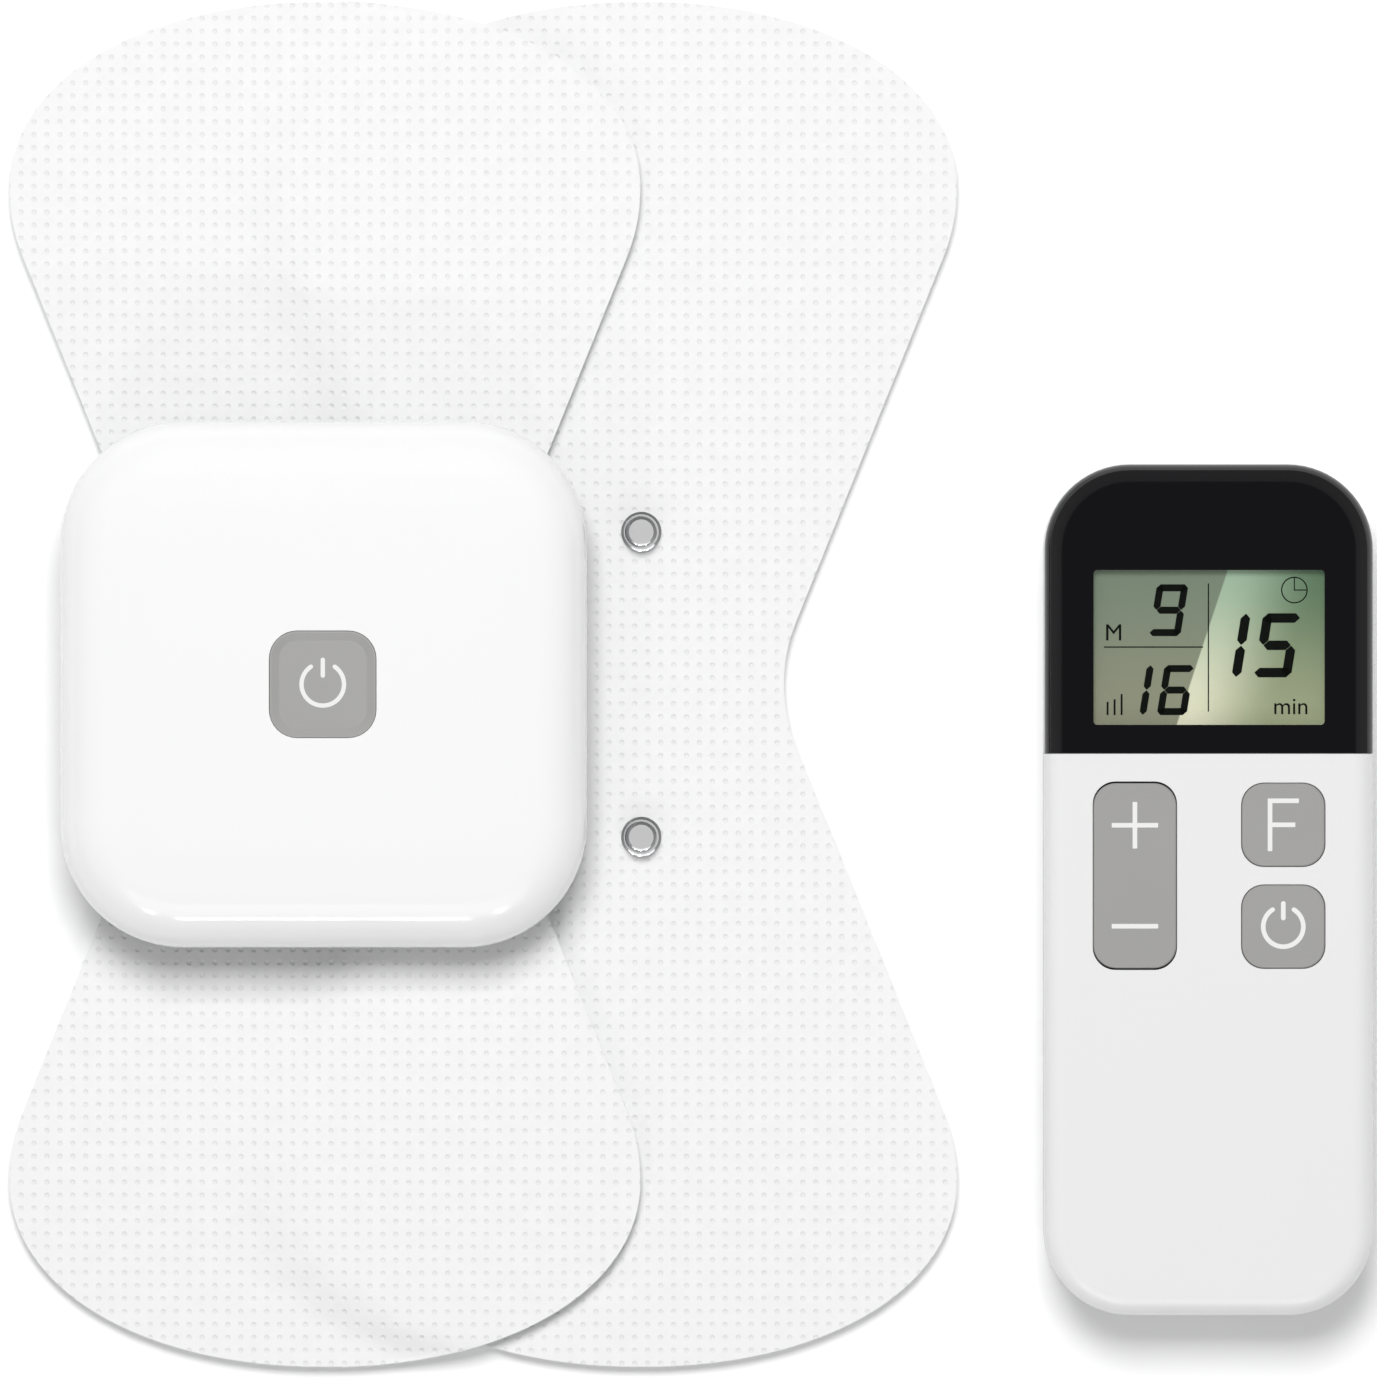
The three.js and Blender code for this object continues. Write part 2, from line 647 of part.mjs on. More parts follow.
// Everything above or below a height, or towards the top end, as a cutting block.
const remoteAbove = (z) => box(80, 140, slack, 0, 0, z);
const remoteBelow = (z) => box(80, 140, slack, 0, 0, z - slack);
const topEndFrom = (y, z) => box(80, 100, slack, 0, y + 50, z);

function remoteFrontShell() {
  const outer = remoteBody(0);
  const shell = cut(outer, remoteBody(remoteWall), remoteBelow(remoteSplit + partingGap / 2));
  const skirt = remoteWall + fitGap;
  const bare = cut(shell, topEndFrom(panelEdge - layerGap, remoteSplit - 5));
  const carrierBody = pillow(
    remoteWidth - 2 * skirt,
    remoteLength - 2 * skirt,
    remoteThickness - 2 * skirt,
    remoteCorner - skirt,
    1,
    1,
    skirt,
  );
  const carrierZone = box(80, panelLength + 1.5, remoteWall, 0, remoteTop - panelLength / 2 - 0.75, shelfBase);
  const carrierPlate = common(plate(remoteWidth - 2 * skirt, remoteLength - 2 * skirt, slack,
    remoteCorner - skirt), carrierZone);
  const hollow = skirt + carrierRim;
  const rim = cut(carrierBody, plate(remoteWidth - 2 * hollow, remoteLength - 2 * hollow, 2 * slack,
    remoteCorner - hollow, 0, 0, -slack));
  const rimZone = box(80, panelLength + 1.5, shelfTop - remoteSplit - partingGap / 2, 0,
    remoteTop - panelLength / 2 - 0.75, remoteSplit + partingGap / 2);
  const carrier = join(carrierPlate, common(rim, rimZone));
  const window = box(screenWidth + 2 * screenBorder + 2 * fitGap, screenLength + 2 * screenBorder + 2 * fitGap,
    slack, 0, screenY, 0);
  const posts = remoteScrews.map(([x, y]) => {
    return disc(postRadius, shelfTop - 0.3 - remoteSplit, x, y, remoteSplit + 0.1, postRadius, 14);
  });
  const openings = keyPlaces.map(([, x, y, length]) => {
    const top = remoteThickness - remoteWall - 1;
    return plate(keyWidth + 2 * keyGap, length + 2 * keyGap, slack, keyCorner + keyGap, x, y, top);
  });
  const bores = remoteScrews.map(([x, y]) => disc(screwRadius + 0.1, 2.4, x, y, remoteSplit - 0.2));
  return cut(join(bare, carrier, ...posts), window, ...openings, ...bores);
}

function displayLens() {
  const cap = common(remoteBody(0), topEndFrom(panelEdge + layerGap, remoteSplit + partingGap / 2));
  const inside = plate(
    remoteWidth - 2 * remoteWall,
    remoteLength - 2 * remoteWall,
    slack,
    remoteCorner - remoteWall,
    0,
    0,
    lensBase - slack,
    4,
  );
  return cut(cap, inside);
}

function remoteRearShell() {
  const shell = cut(remoteBody(0), remoteBody(remoteWall), remoteAbove(remoteSplit - partingGap / 2));
  const plateau = common(
    remoteBody(0.5),
    box(remoteWidth, doorLength + 12, doorThickness + 1.2, 0, -remoteTop + (doorLength + 12) / 2, 0),
  );
  const posts = remoteScrews.map(([x, y]) => {
    return disc(postRadius, remoteBoardBase - 0.7, x, y, 0.5, postRadius, 14);
  });
  const doorReach = -remoteTop + doorLength;
  const channel = box(doorWidth + 2 * keyGap, 60, slack, 0, doorReach + keyGap - 30, doorThickness + layerGap - slack);
  const groove = box(
    doorWidth + 2 * doorTongue + 2 * keyGap,
    60,
    doorThickness / 2 + 2 * layerGap,
    0,
    doorReach + keyGap - 30,
    doorThickness / 2 - layerGap,
  );
  const coinHole = disc(coinRadius + fitGap, slack, 0, coinY, 0, coinRadius + fitGap, 32);
  const holes = [];
  for (const [x, y] of remoteScrews) {
    holes.push(disc(screwRadius + fitGap, slack, x, y, -1, screwRadius + fitGap, 12));
    holes.push(disc(screwHeadRadius + fitGap, screwHeadHeight + fitGap, x, y, -0.05));
  }
  return cut(join(shell, plateau, ...posts), channel, groove, coinHole, ...holes);
}

// The battery door: a plate that follows the case's end, with a tongue along each side and grip ribs.
function batteryDoor() {
  const middle = -remoteTop + doorLength / 2;
  const slab = box(doorWidth, doorLength + 2, doorThickness, 0, middle - 1, 0);
  const tongues = box(doorWidth + 2 * doorTongue, doorLength - 4, doorThickness / 2, 0, middle + 2, doorThickness / 2);
  const door = common(join(slab, tongues), remoteBody(0));
  const ribs = [];
  for (let rib = 0; rib < 5; rib += 1) {
    ribs.push(box(doorWidth * 0.5, 0.7, 0.35, 0, -remoteTop + 8 + rib * 1.6, -0.01));
  }
  return cut(door, ...ribs);
}

function keyGeometry(width, length) {
  const cap = pillow(width, length, keyThickness + 2, keyCorner, 0.35, 0.35, -2, 3, 1);
  const body = common(cap, box(40, 60, slack, 0, 0, 0));
  const lipWidth = width + 2 * keyLip;
  const lipLength = length + 2 * keyLip;
  const lip = plate(lipWidth, lipLength, 0.6, keyCorner + keyLip);
  return join(body, lip);
}

function keypadSheet() {
  const room = remoteWidth - 2 * (remoteWall + carrierRim + 2 * fitGap);
  const width = Math.min(2 * keyColumn + keyWidth + 4, room);
  const middle = (keypadLow + keypadHigh) / 2;
  const sheet = plate(width, keypadHigh - keypadLow, keypadThickness, 2, 0, middle);
  const nubs = domePlaces.map(([, x, y]) => disc(1.5, nubHeight + 0.1, x, y, -nubHeight, 1.6, 12));
  return join(sheet, ...nubs);
}

function remoteBoard() {
  const inset = remoteWall + carrierRim + 2 * fitGap;
  const corner = remoteCorner - inset;
  const board = plate(remoteWidth - 2 * inset, remoteLength - 2 * inset, remoteBoardThickness, corner);
  const notches = remoteScrews.map(([x, y]) => disc(postRadius + fitGap, slack, x, y, -1));
  return cut(board, ...notches);
}

// A bent strip beside the coin cell: up to the board, down the cell's side and under its edge.
function coinSideContact() {
  const reach = coinRadius + fitGap + 0.3;
  const height = remoteBoardBase - layerGap - (coinBase + 1.4);
  const upright = box(0.3, 5, height, -reach, coinY, coinBase + 1.4);
  const foot = box(3.2, 5, 0.3, -reach - 1.4, coinY, remoteBoardBase - layerGap - 0.3);
  return join(upright, foot);
}

function coinTopContact() {
  const rise = remoteBoardBase - (coinBase + coinHeight) - 2 * layerGap;
  return turned([[0, 0], [2.2, 0], [5, rise - 0.25], [7, rise - 0.25], [7, rise], [4.8, rise], [2, 0.3], [0, 0.3]], 16);
}

function switchDome() {
  return turned([[0, 0], [domeRadius, 0], [domeRadius * 0.75, domeHeight * 0.75], [domeRadius * 0.4, domeHeight],
    [0, domeHeight]], 12);
}

function remote() {
  const group = new THREE.Group();
  const onBoard = domeBase;
  piece(group, "remote_front_shell", remoteFrontShell(), whiteGloss);
  piece(group, "remote_rear_shell", remoteRearShell(), greySatin);
  piece(group, "remote_display_lens", displayLens(), blackGloss);
  const glass = box(screenWidth + 2 * screenBorder, screenLength + 2 * screenBorder, screenThickness);
  const glassBase = lensBase - 2 * layerGap - screenThickness;
  piece(group, "remote_screen", glass, screenGlass, 0, screenY, glassBase);
  const stripY = screenY - screenLength / 2 - screenBorder + 1.2;
  const strip = box(screenWidth, 2, glassBase - onBoard - layerGap);
  piece(group, "remote_contact_strip", strip, siliconeGrey, 0, stripY, onBoard);
  for (const [name, x, y, length] of keyPlaces) {
    piece(group, `remote_${name}_key`, keyGeometry(keyWidth, length), keyGrey, x, y, keyBase);
  }
  piece(group, "remote_keypad", keypadSheet(), siliconeGrey, 0, 0, keypadBase);
  piece(group, "remote_board", remoteBoard(), boardGreen, 0, 0, remoteBoardBase);
  piece(group, "remote_radio_chip", box(5, 5, 0.9), blackPlastic, 0, keypadLow - 6, onBoard);
  for (const [name, x, y] of domePlaces) {
    piece(group, `remote_dome_${name}`, switchDome(), steel, x, y, domeBase);
  }
  piece(group, "remote_coin_cell", disc(coinRadius, coinHeight, 0, 0, 0, coinRadius, 32), cellSilver, 0, coinY, coinBase);
  piece(group, "remote_cell_contact_side", coinSideContact(), steel);
  piece(group, "remote_cell_contact_top", coinTopContact(), steel, 0, coinY, coinBase + coinHeight + layerGap);
  piece(group, "remote_battery_door", batteryDoor(), greySatin);
  remoteScrews.forEach(([x, y], index) => {
    piece(group, `remote_screw_${index + 1}`, screwGeometry(remoteSplit + 0.6), steel, x, y, 0.1);
  });
  return group;
}

// ---------- The kit on the table ----------
const sparePad = electrodePad("spare", false);
sparePad.position.set(padOffset, 0, 0);
const frontPad = electrodePad("front", true);
const remoteControl = remote();
remoteControl.position.set(remoteMiddle, -remoteDrop, 0);
kit.add(sparePad, frontPad, receiver(), remoteControl);

export default kit;
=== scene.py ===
# %% [markdown]
# # A wireless nerve-stimulation kit
# Its measured model is loaded first and never changes. Every piece below is modelled over it, in metres
# and in the same frame, so a place is always asked of the model and never guessed.
# %% Load the measured model
import math

import bmesh
import bpy
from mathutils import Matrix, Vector, noise
from mathutils.bvhtree import BVHTree


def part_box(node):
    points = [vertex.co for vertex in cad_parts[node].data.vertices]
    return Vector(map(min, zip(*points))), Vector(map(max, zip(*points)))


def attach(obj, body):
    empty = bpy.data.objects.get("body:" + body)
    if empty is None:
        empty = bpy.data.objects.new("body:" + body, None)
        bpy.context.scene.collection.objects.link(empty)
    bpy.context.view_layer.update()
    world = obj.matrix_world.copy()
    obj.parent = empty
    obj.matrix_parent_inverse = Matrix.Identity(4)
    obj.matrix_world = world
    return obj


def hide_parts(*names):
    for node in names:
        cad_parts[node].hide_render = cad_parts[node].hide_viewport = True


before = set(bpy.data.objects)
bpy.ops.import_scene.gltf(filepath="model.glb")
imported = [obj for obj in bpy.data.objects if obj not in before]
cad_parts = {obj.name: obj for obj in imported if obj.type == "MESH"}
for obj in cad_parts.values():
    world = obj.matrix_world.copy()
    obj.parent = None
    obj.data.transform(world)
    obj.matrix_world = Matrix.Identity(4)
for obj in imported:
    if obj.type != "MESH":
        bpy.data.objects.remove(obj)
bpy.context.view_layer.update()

mm = 0.001

# %% [markdown]
# ## Working by hand, in code
# Each helper does what a hand does in the window: pick one object, pick some of its edges or faces by
# where they lie, and run an operator on them. Everything is deselected first, because an operator acts
# on all that is selected.
# %% Pick an object, pick a part of it
def only(piece):
    bpy.ops.object.select_all(action="DESELECT")
    piece.select_set(True)
    bpy.context.view_layer.objects.active = piece


def choose(piece, kind, test):
    """Leaves the piece in edit mode with the vertices, edges or faces selected whose points pass the test."""
    only(piece)
    bpy.ops.object.mode_set(mode="EDIT")
    bpy.ops.mesh.select_mode(type=kind)
    bpy.ops.mesh.select_all(action="DESELECT")
    mesh = bmesh.from_edit_mesh(piece.data)
    groups = {"VERT": mesh.verts, "EDGE": mesh.edges, "FACE": mesh.faces}
    for item in groups[kind]:
        points = [item.co] if kind == "VERT" else [vertex.co for vertex in item.verts]
        item.select_set(test(points))
    bmesh.update_edit_mesh(piece.data)


def done():
    bpy.ops.object.mode_set(mode="OBJECT")


def everything(points):
    return True


def level(z):
    return lambda points: all(abs(point.z - z) < 1e-6 for point in points)


def upright(points):
    return (points[0].xy - points[1].xy).length < 1e-6


def settle(name):
    """Names the object that was just made, and bakes its place, turn and size into its points."""
    piece = bpy.context.object
    piece.name = name
    bpy.ops.object.transform_apply(location=True, rotation=True, scale=True)
    return piece


def face_outward():
    """Ends an edit with every face turned outward."""
    bpy.ops.mesh.select_all(action="SELECT")
    bpy.ops.mesh.normals_make_consistent(inside=False)
    done()


def over(node, z):
    """The point at height z on the upright line through the middle of one of the model's nodes."""
    low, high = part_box(node)
    return Vector(((low.x + high.x) / 2, (low.y + high.y) / 2, z))


# %% [markdown]
# ## A block with rounded corners and rolled edges
# Nearly every moulded case here starts as a box. Its upright edges are bevelled to the corner radius,
# then its top and bottom rims are bevelled to the edge radius. Bevels give true arcs, and the flat faces
# stay flat, so buttons and windows can be cut cleanly. With one step a bevel is a chamfer, which makes
# the pointed bars of the digits.
# %% Rounded block
def rounded_block(name, low, high, corner=0.0, top=0.0, bottom=0.0, steps=10, rim_steps=5):
    low, high = Vector(low), Vector(high)
    bpy.ops.mesh.primitive_cube_add(size=1, location=(low + high) / 2, scale=high - low)
    piece = settle(name)
    if corner:
        choose(piece, "EDGE", upright)
        bpy.ops.mesh.bevel(offset=corner, segments=steps, profile=0.5, affect="EDGES")
        done()
    for z, size in ((high.z, top), (low.z, bottom)):
        if size:
            choose(piece, "EDGE", level(z))
            bpy.ops.mesh.bevel(offset=size, segments=rim_steps, profile=0.5, affect="EDGES")
            done()
    return piece


def drum(name, place, radius, height, sides=48):
    """An upright cylinder standing on a place, used as a drill or a post."""
    middle = Vector(place) + Vector((0, 0, height / 2))
    bpy.ops.mesh.primitive_cylinder_add(vertices=sides, radius=radius, depth=height, location=middle)
    return settle(name)


def join_all(name, pieces):
    only(pieces[0])
    for piece in pieces:
        piece.select_set(True)
    bpy.ops.object.join()
    pieces[0].name = name
    return pieces[0]


# %% [markdown]
# ## Cutting and softening
# Openings are cut with the exact Boolean, the way a tool cuts a mould. A moulded part never has a knife
# edge, so a narrow bevel then runs along every crease, and it is what catches the light. A piece that is
# given no width only has its shading smoothed. The shading angle is the crease's own, unless a smaller
# one is asked for, to keep a shallow slope readable.
# %% Carve and soften
def carve(piece, tool, how="DIFFERENCE"):
    step = piece.modifiers.new("carve", "BOOLEAN")
    step.operation = how
    step.object = tool
    step.solver = "EXACT"
    only(piece)
    bpy.ops.object.modifier_apply(modifier=step.name)
    bpy.data.objects.remove(tool, do_unlink=True)


def drop_slivers(piece):
    """Takes out the edges and faces of no size that a cut or a bevel can leave."""
    choose(piece, "EDGE", everything)
    bpy.ops.mesh.dissolve_degenerate(threshold=0.002 * mm)
    done()


def soften(piece, width=0.0, crease=40, smooth=None):
    drop_slivers(piece)
    if width:
        step = piece.modifiers.new("soften", "BEVEL")
        step.width = width
        step.segments = 2
        step.limit_method = "ANGLE"
        step.angle_limit = math.radians(crease)
        only(piece)
        bpy.ops.object.modifier_apply(modifier=step.name)
        drop_slivers(piece)
    only(piece)
    bpy.ops.object.shade_smooth_by_angle(angle=math.radians(smooth or crease))
    step = piece.modifiers.new("flat faces stay flat", "WEIGHTED_NORMAL")
    step.weight = 100
    step.keep_sharp = True
    bpy.ops.object.modifier_apply(modifier=step.name)


def paint(piece, material):
    piece.data.materials.clear()
    piece.data.materials.append(material)


def dress(piece, material, body, slot, *nodes):
    """Gives a finished piece its finish, the body it moves with and the model's nodes that it stands for."""
    paint(piece, material)
    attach(piece, body)
    if nodes:
        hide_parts(*nodes)
    print(piece.name, len(piece.data.polygons), "faces")


# %% [markdown]
# ## Finishes are built from shared effects
# Four effects come back in many finishes: a fine moulded grain, light smudges that change the gloss, a
# paler worn edge, and the dimple grid of the embossed cloth. Each is a node group that puts out only
# values or colours, and the shader stays in the material.
# %% Node helpers
FLOAT, VECTOR, COLOUR = "NodeSocketFloat", "NodeSocketVector", "NodeSocketColor"


def new_group(name, inputs, outputs):
    group = bpy.data.node_groups.new(name, "ShaderNodeTree")
    for label, kind, value in inputs:
        socket = group.interface.new_socket(name=label, in_out="INPUT", socket_type=kind)
        if value is not None:
            socket.default_value = value
    for label, kind in outputs:
        group.interface.new_socket(name=label, in_out="OUTPUT", socket_type=kind)
    return group, group.nodes.new("NodeGroupInput"), group.nodes.new("NodeGroupOutput")


def feed(tree, socket, value):
    """Sets a socket to a number or a colour, or links it to another node's output."""
    if isinstance(value, bpy.types.NodeSocket):
        tree.links.new(value, socket)
    elif isinstance(value, tuple):
        socket.default_value = (*value, 1)
    else:
        socket.default_value = value


def set_inputs(node, settings):
    for label, value in settings.items():
        node.inputs[label].default_value = value


def math_node(tree, operation, first, second=None, third=None, clamp=False):
    node = tree.nodes.new("ShaderNodeMath")
    node.operation = operation
    node.use_clamp = clamp
    for socket, value in zip(node.inputs, (first, second, third)):
        if value is not None:
            feed(tree, socket, value)
    return node.outputs[0]


def noise_node(tree, vector, scale, detail=3.0):
    node = tree.nodes.new("ShaderNodeTexNoise")
    for label, value in (("Detail", detail), ("Vector", vector), ("Scale", scale)):
        feed(tree, node.inputs[label], value)
    return node.outputs["Fac"]


def ramp_value(tree, value, low, high, out_low=0.0, out_high=1.0):
    node = tree.nodes.new("ShaderNodeMapRange")
    node.interpolation_type = "SMOOTHSTEP"
    tree.links.new(value, node.inputs["Value"])
    sockets = ("From Min", "From Max", "To Min", "To Max")
    for label, number in zip(sockets, (low, high, out_low, out_high)):
        feed(tree, node.inputs[label], number)
    return node.outputs["Result"]


def mix_colour(tree, factor, first, second):
    """A Mix node keeps its two colours in sockets 6 and 7, and the colour it puts out in socket 2."""
    mix = tree.nodes.new("ShaderNodeMix")
    mix.data_type = "RGBA"
    tree.links.new(factor, mix.inputs["Factor"])
    feed(tree, mix.inputs[6], first)
    feed(tree, mix.inputs[7], second)
    return mix.outputs[2]


def axes_of(tree, vector):
    node = tree.nodes.new("ShaderNodeSeparateXYZ")
    tree.links.new(vector, node.inputs[0])
    return node.outputs


# %% Moulded grain: a fine pebble left by the mould
grain_group, g_in, g_out = new_group(
    "moulded grain", [("Place", VECTOR, None), ("Scale", FLOAT, 4000.0)], [("Height", FLOAT)])
pebble = grain_group.nodes.new("ShaderNodeTexVoronoi")
grain_group.links.new(g_in.outputs["Place"], pebble.inputs["Vector"])
grain_group.links.new(g_in.outputs["Scale"], pebble.inputs["Scale"])
fine = noise_node(grain_group, g_in.outputs["Place"], g_in.outputs["Scale"], 4.0)
coarse = math_node(grain_group, "MULTIPLY", pebble.outputs["Distance"], 0.6)
mixed = math_node(grain_group, "ADD", coarse, fine)
grain_group.links.new(mixed, g_out.inputs["Height"])

# %% Smudges: large soft patches where fingers have dulled the gloss
smudge_group, s_in, s_out = new_group(
    "smudges",
    [("Place", VECTOR, None), ("Clean", FLOAT, 0.1), ("Dull", FLOAT, 0.25)],
    [("Roughness", FLOAT)])
broad = noise_node(smudge_group, s_in.outputs["Place"], 70.0, 5.0)
rough = ramp_value(smudge_group, broad, 0.42, 0.72, s_in.outputs["Clean"], s_in.outputs["Dull"])
smudge_group.links.new(rough, s_out.inputs["Roughness"])

# %% Edge wear: pointed places are rubbed a little paler or brighter
wear_group, w_in, w_out = new_group(
    "edge wear",
    [("Place", VECTOR, None), ("Colour", COLOUR, None), ("Worn", COLOUR, None), ("Amount", FLOAT, 0.3)],
    [("Colour", COLOUR)])
shape = wear_group.nodes.new("ShaderNodeNewGeometry")
edges = ramp_value(wear_group, shape.outputs["Pointiness"], 0.51, 0.62)
patchy = ramp_value(wear_group, noise_node(wear_group, w_in.outputs["Place"], 900.0, 4.0), 0.35, 0.65)
rubbed = math_node(wear_group, "MULTIPLY", edges, patchy)
wear_mask = math_node(wear_group, "MULTIPLY", rubbed, w_in.outputs["Amount"], clamp=True)
blend = mix_colour(wear_group, wear_mask, w_in.outputs["Colour"], w_in.outputs["Worn"])
wear_group.links.new(blend, w_out.inputs["Colour"])

# %% Dimple grid: rows of small round thermal bonds pressed into non-woven cloth
dimple_group, d_in, d_out = new_group(
    "dimple grid",
    [("Place", VECTOR, None), ("Pitch", FLOAT, 1.48 * mm), ("Radius", FLOAT, 0.15)],
    [("Height", FLOAT), ("Mask", FLOAT)])
along = axes_of(dimple_group, d_in.outputs["Place"])
legs = []
for axis in ("X", "Y"):
    cells = math_node(dimple_group, "DIVIDE", along[axis], d_in.outputs["Pitch"])
    offset = math_node(dimple_group, "SUBTRACT", math_node(dimple_group, "FRACT", cells), 0.5)
    legs.append(math_node(dimple_group, "MULTIPLY", offset, offset))
away = math_node(dimple_group, "SQRT", math_node(dimple_group, "ADD", legs[0], legs[1]))
inner_edge = math_node(dimple_group, "MULTIPLY", d_in.outputs["Radius"], 0.35)
outer_edge = math_node(dimple_group, "MULTIPLY", d_in.outputs["Radius"], 1.65)
dimple_height = ramp_value(dimple_group, away, inner_edge, outer_edge)
dimple_group.links.new(dimple_height, d_out.inputs["Height"])
dimple_group.links.new(math_node(dimple_group, "SUBTRACT", 1.0, dimple_height), d_out.inputs["Mask"])
print("effects", [group.name for group in bpy.data.node_groups])


# %% [markdown]
# ## One recipe for moulded, cast and metal finishes
# Colour with a worn edge, gloss that changes under smudges, and a grain so fine that it only breaks up
# the highlight. The numbers that are the same all over a surface sit on the shader's own sockets.
# %% Surface recipe
def new_finish(name):
    material = bpy.data.materials.new(name)
    material.use_nodes = True
    return material


def shader_of(material):
    return material.node_tree.nodes["Principled BSDF"]


def place_group(material, group, **values):
    node = material.node_tree.nodes.new("ShaderNodeGroup")
    node.node_tree = group
    set_inputs(node, values)
    return node


def add_bump(material, height, strength, distance):
    tree = material.node_tree
    bump = tree.nodes.new("ShaderNodeBump")
    set_inputs(bump, {"Strength": strength, "Distance": distance})
    tree.links.new(height, bump.inputs["Height"])
    tree.links.new(bump.outputs["Normal"], shader_of(material).inputs["Normal"])


def surface(name, colour, clean, dull, metal=0.0, wear=0.25, grain=4000.0, depth=0.02):
    """clean and dull are the roughness off and on a smudge, and depth is how much the grain shows."""
    material = new_finish(name)
    tree = material.node_tree
    shader = shader_of(material)
    set_inputs(shader, {"Metallic": metal})
    place = tree.nodes.new("ShaderNodeTexCoord").outputs["Object"]
    smudge = place_group(material, smudge_group, Clean=clean, Dull=dull)
    worn = [min(1.0, channel * 1.15 + 0.02) for channel in colour]
    edge = place_group(material, wear_group, Colour=(*colour, 1), Worn=(*worn, 1), Amount=wear)
    pebbles = place_group(material, grain_group, Scale=grain)
    for node in (smudge, edge, pebbles):
        tree.links.new(place, node.inputs["Place"])
    add_bump(material, pebbles.outputs["Height"], depth, 0.1 * mm)
    tree.links.new(edge.outputs["Colour"], shader.inputs["Base Color"])
    tree.links.new(smudge.outputs["Roughness"], shader.inputs["Roughness"])
    return material


def object_place(material):
    """The object coordinates that the surface recipe already reads."""
    nodes = material.node_tree.nodes
    return next(node for node in nodes if node.type == "TEX_COORD").outputs["Object"]


white_gloss = surface("white gloss plastic", (0.95, 0.95, 0.95), 0.10, 0.18, depth=0.003, wear=0.05)
remote_white = surface("remote white plastic", (0.86, 0.86, 0.86), 0.30, 0.34, depth=0.012, wear=0.05)
light_grey = surface("light grey plastic", (0.56, 0.565, 0.575), 0.30, 0.42, depth=0.03, grain=5200.0)
button_grey = surface("receiver button grey", (0.395, 0.392, 0.386), 0.36, 0.48, depth=0.03)
key_grey = surface("key grey", (0.370, 0.367, 0.360), 0.42, 0.55, depth=0.03)
black_gloss = surface("black display lens", (0.006, 0.006, 0.007), 0.05, 0.12, depth=0.002, wear=0.02)
satin_nickel = surface("satin nickel", (0.72, 0.72, 0.725), 0.42, 0.5, metal=0.35, depth=0.02, wear=0.1)
chrome = surface("snap chrome", (0.58, 0.585, 0.59), 0.10, 0.18, metal=1.0, depth=0.004, wear=0.1)
steel = surface("nickel steel", (0.55, 0.56, 0.57), 0.25, 0.40, metal=1.0, depth=0.03, grain=7000.0)
print("finishes", len(bpy.data.materials))

# %% [markdown]
# ## Finishes of the hidden pieces
# The boards, chips, cells, film and gel only show when a shell is taken off, but each still has its own
# real finish: solder mask with copper tracks under it, wound copper, soft foil, sticky gel.
# %% Inner finishes
film_black = surface("carbon film", (0.03, 0.03, 0.032), 0.45, 0.6, depth=0.08, grain=2500.0)
silicone = surface("grey silicone", (0.60, 0.61, 0.62), 0.5, 0.65, depth=0.05)
plastic_black = surface("black plastic", (0.025, 0.025, 0.027), 0.4, 0.55, depth=0.08)
foil = surface("cell foil", (0.62, 0.63, 0.65), 0.22, 0.45, metal=1.0, depth=0.25, grain=900.0)
coin_steel = surface("coin cell can", (0.68, 0.69, 0.70), 0.16, 0.3, metal=1.0, depth=0.02)
copper = surface("copper winding", (0.72, 0.38, 0.20), 0.3, 0.4, metal=1.0, depth=0.6, grain=3000.0)
light_lens = surface("status light lens", (0.55, 0.85, 0.58), 0.1, 0.2, depth=0.01)
liner_film = surface("release liner", (0.80, 0.83, 0.85), 0.12, 0.25, depth=0.01)
gel = surface("electrode gel", (0.72, 0.80, 0.82), 0.18, 0.3, depth=0.05, grain=1200.0)
set_inputs(shader_of(gel), {"Transmission Weight": 0.5})


def board_finish():
    """Green solder mask with copper tracks under it: long rows with short links between them."""
    mask_green = (0.012, 0.14, 0.055)
    material = surface("circuit board", mask_green, 0.22, 0.34, depth=0.03)
    tree = material.node_tree
    tracks = tree.nodes.new("ShaderNodeTexBrick")
    set_inputs(tracks, {
        "Scale": 1.0, "Mortar Size": 0.09 * mm, "Mortar Smooth": 0.1, "Brick Width": 3.4 * mm,
        "Row Height": 0.72 * mm, "Color1": (*mask_green, 1), "Color2": (0.015, 0.16, 0.065, 1),
        "Mortar": (0.05, 0.30, 0.12, 1)})
    tree.links.new(object_place(material), tracks.inputs["Vector"])
    tree.links.new(tracks.outputs["Color"], shader_of(material).inputs["Base Color"])
    return material


board_green = board_finish()
inner_finish = {
    "film": film_black, "gel": gel, "liner": liner_film, "eyelet": steel, "gasket": silicone,
    "switch": plastic_black, "board": board_green, "radio_chip": plastic_black, "status_light": light_lens,
    "pulse_coil": copper, "charging_port": steel, "socket": chrome, "screw": steel, "keypad": silicone,
    "contact_strip": silicone, "dome": steel, "coin_cell": coin_steel, "cell_contact": steel,
    "receiver_cell": foil,
}
inner_nodes = 0
for name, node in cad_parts.items():
    for word, material in inner_finish.items():
        if word in name:
            paint(node, material)
            inner_nodes += 1
print("inner nodes painted", inner_nodes)

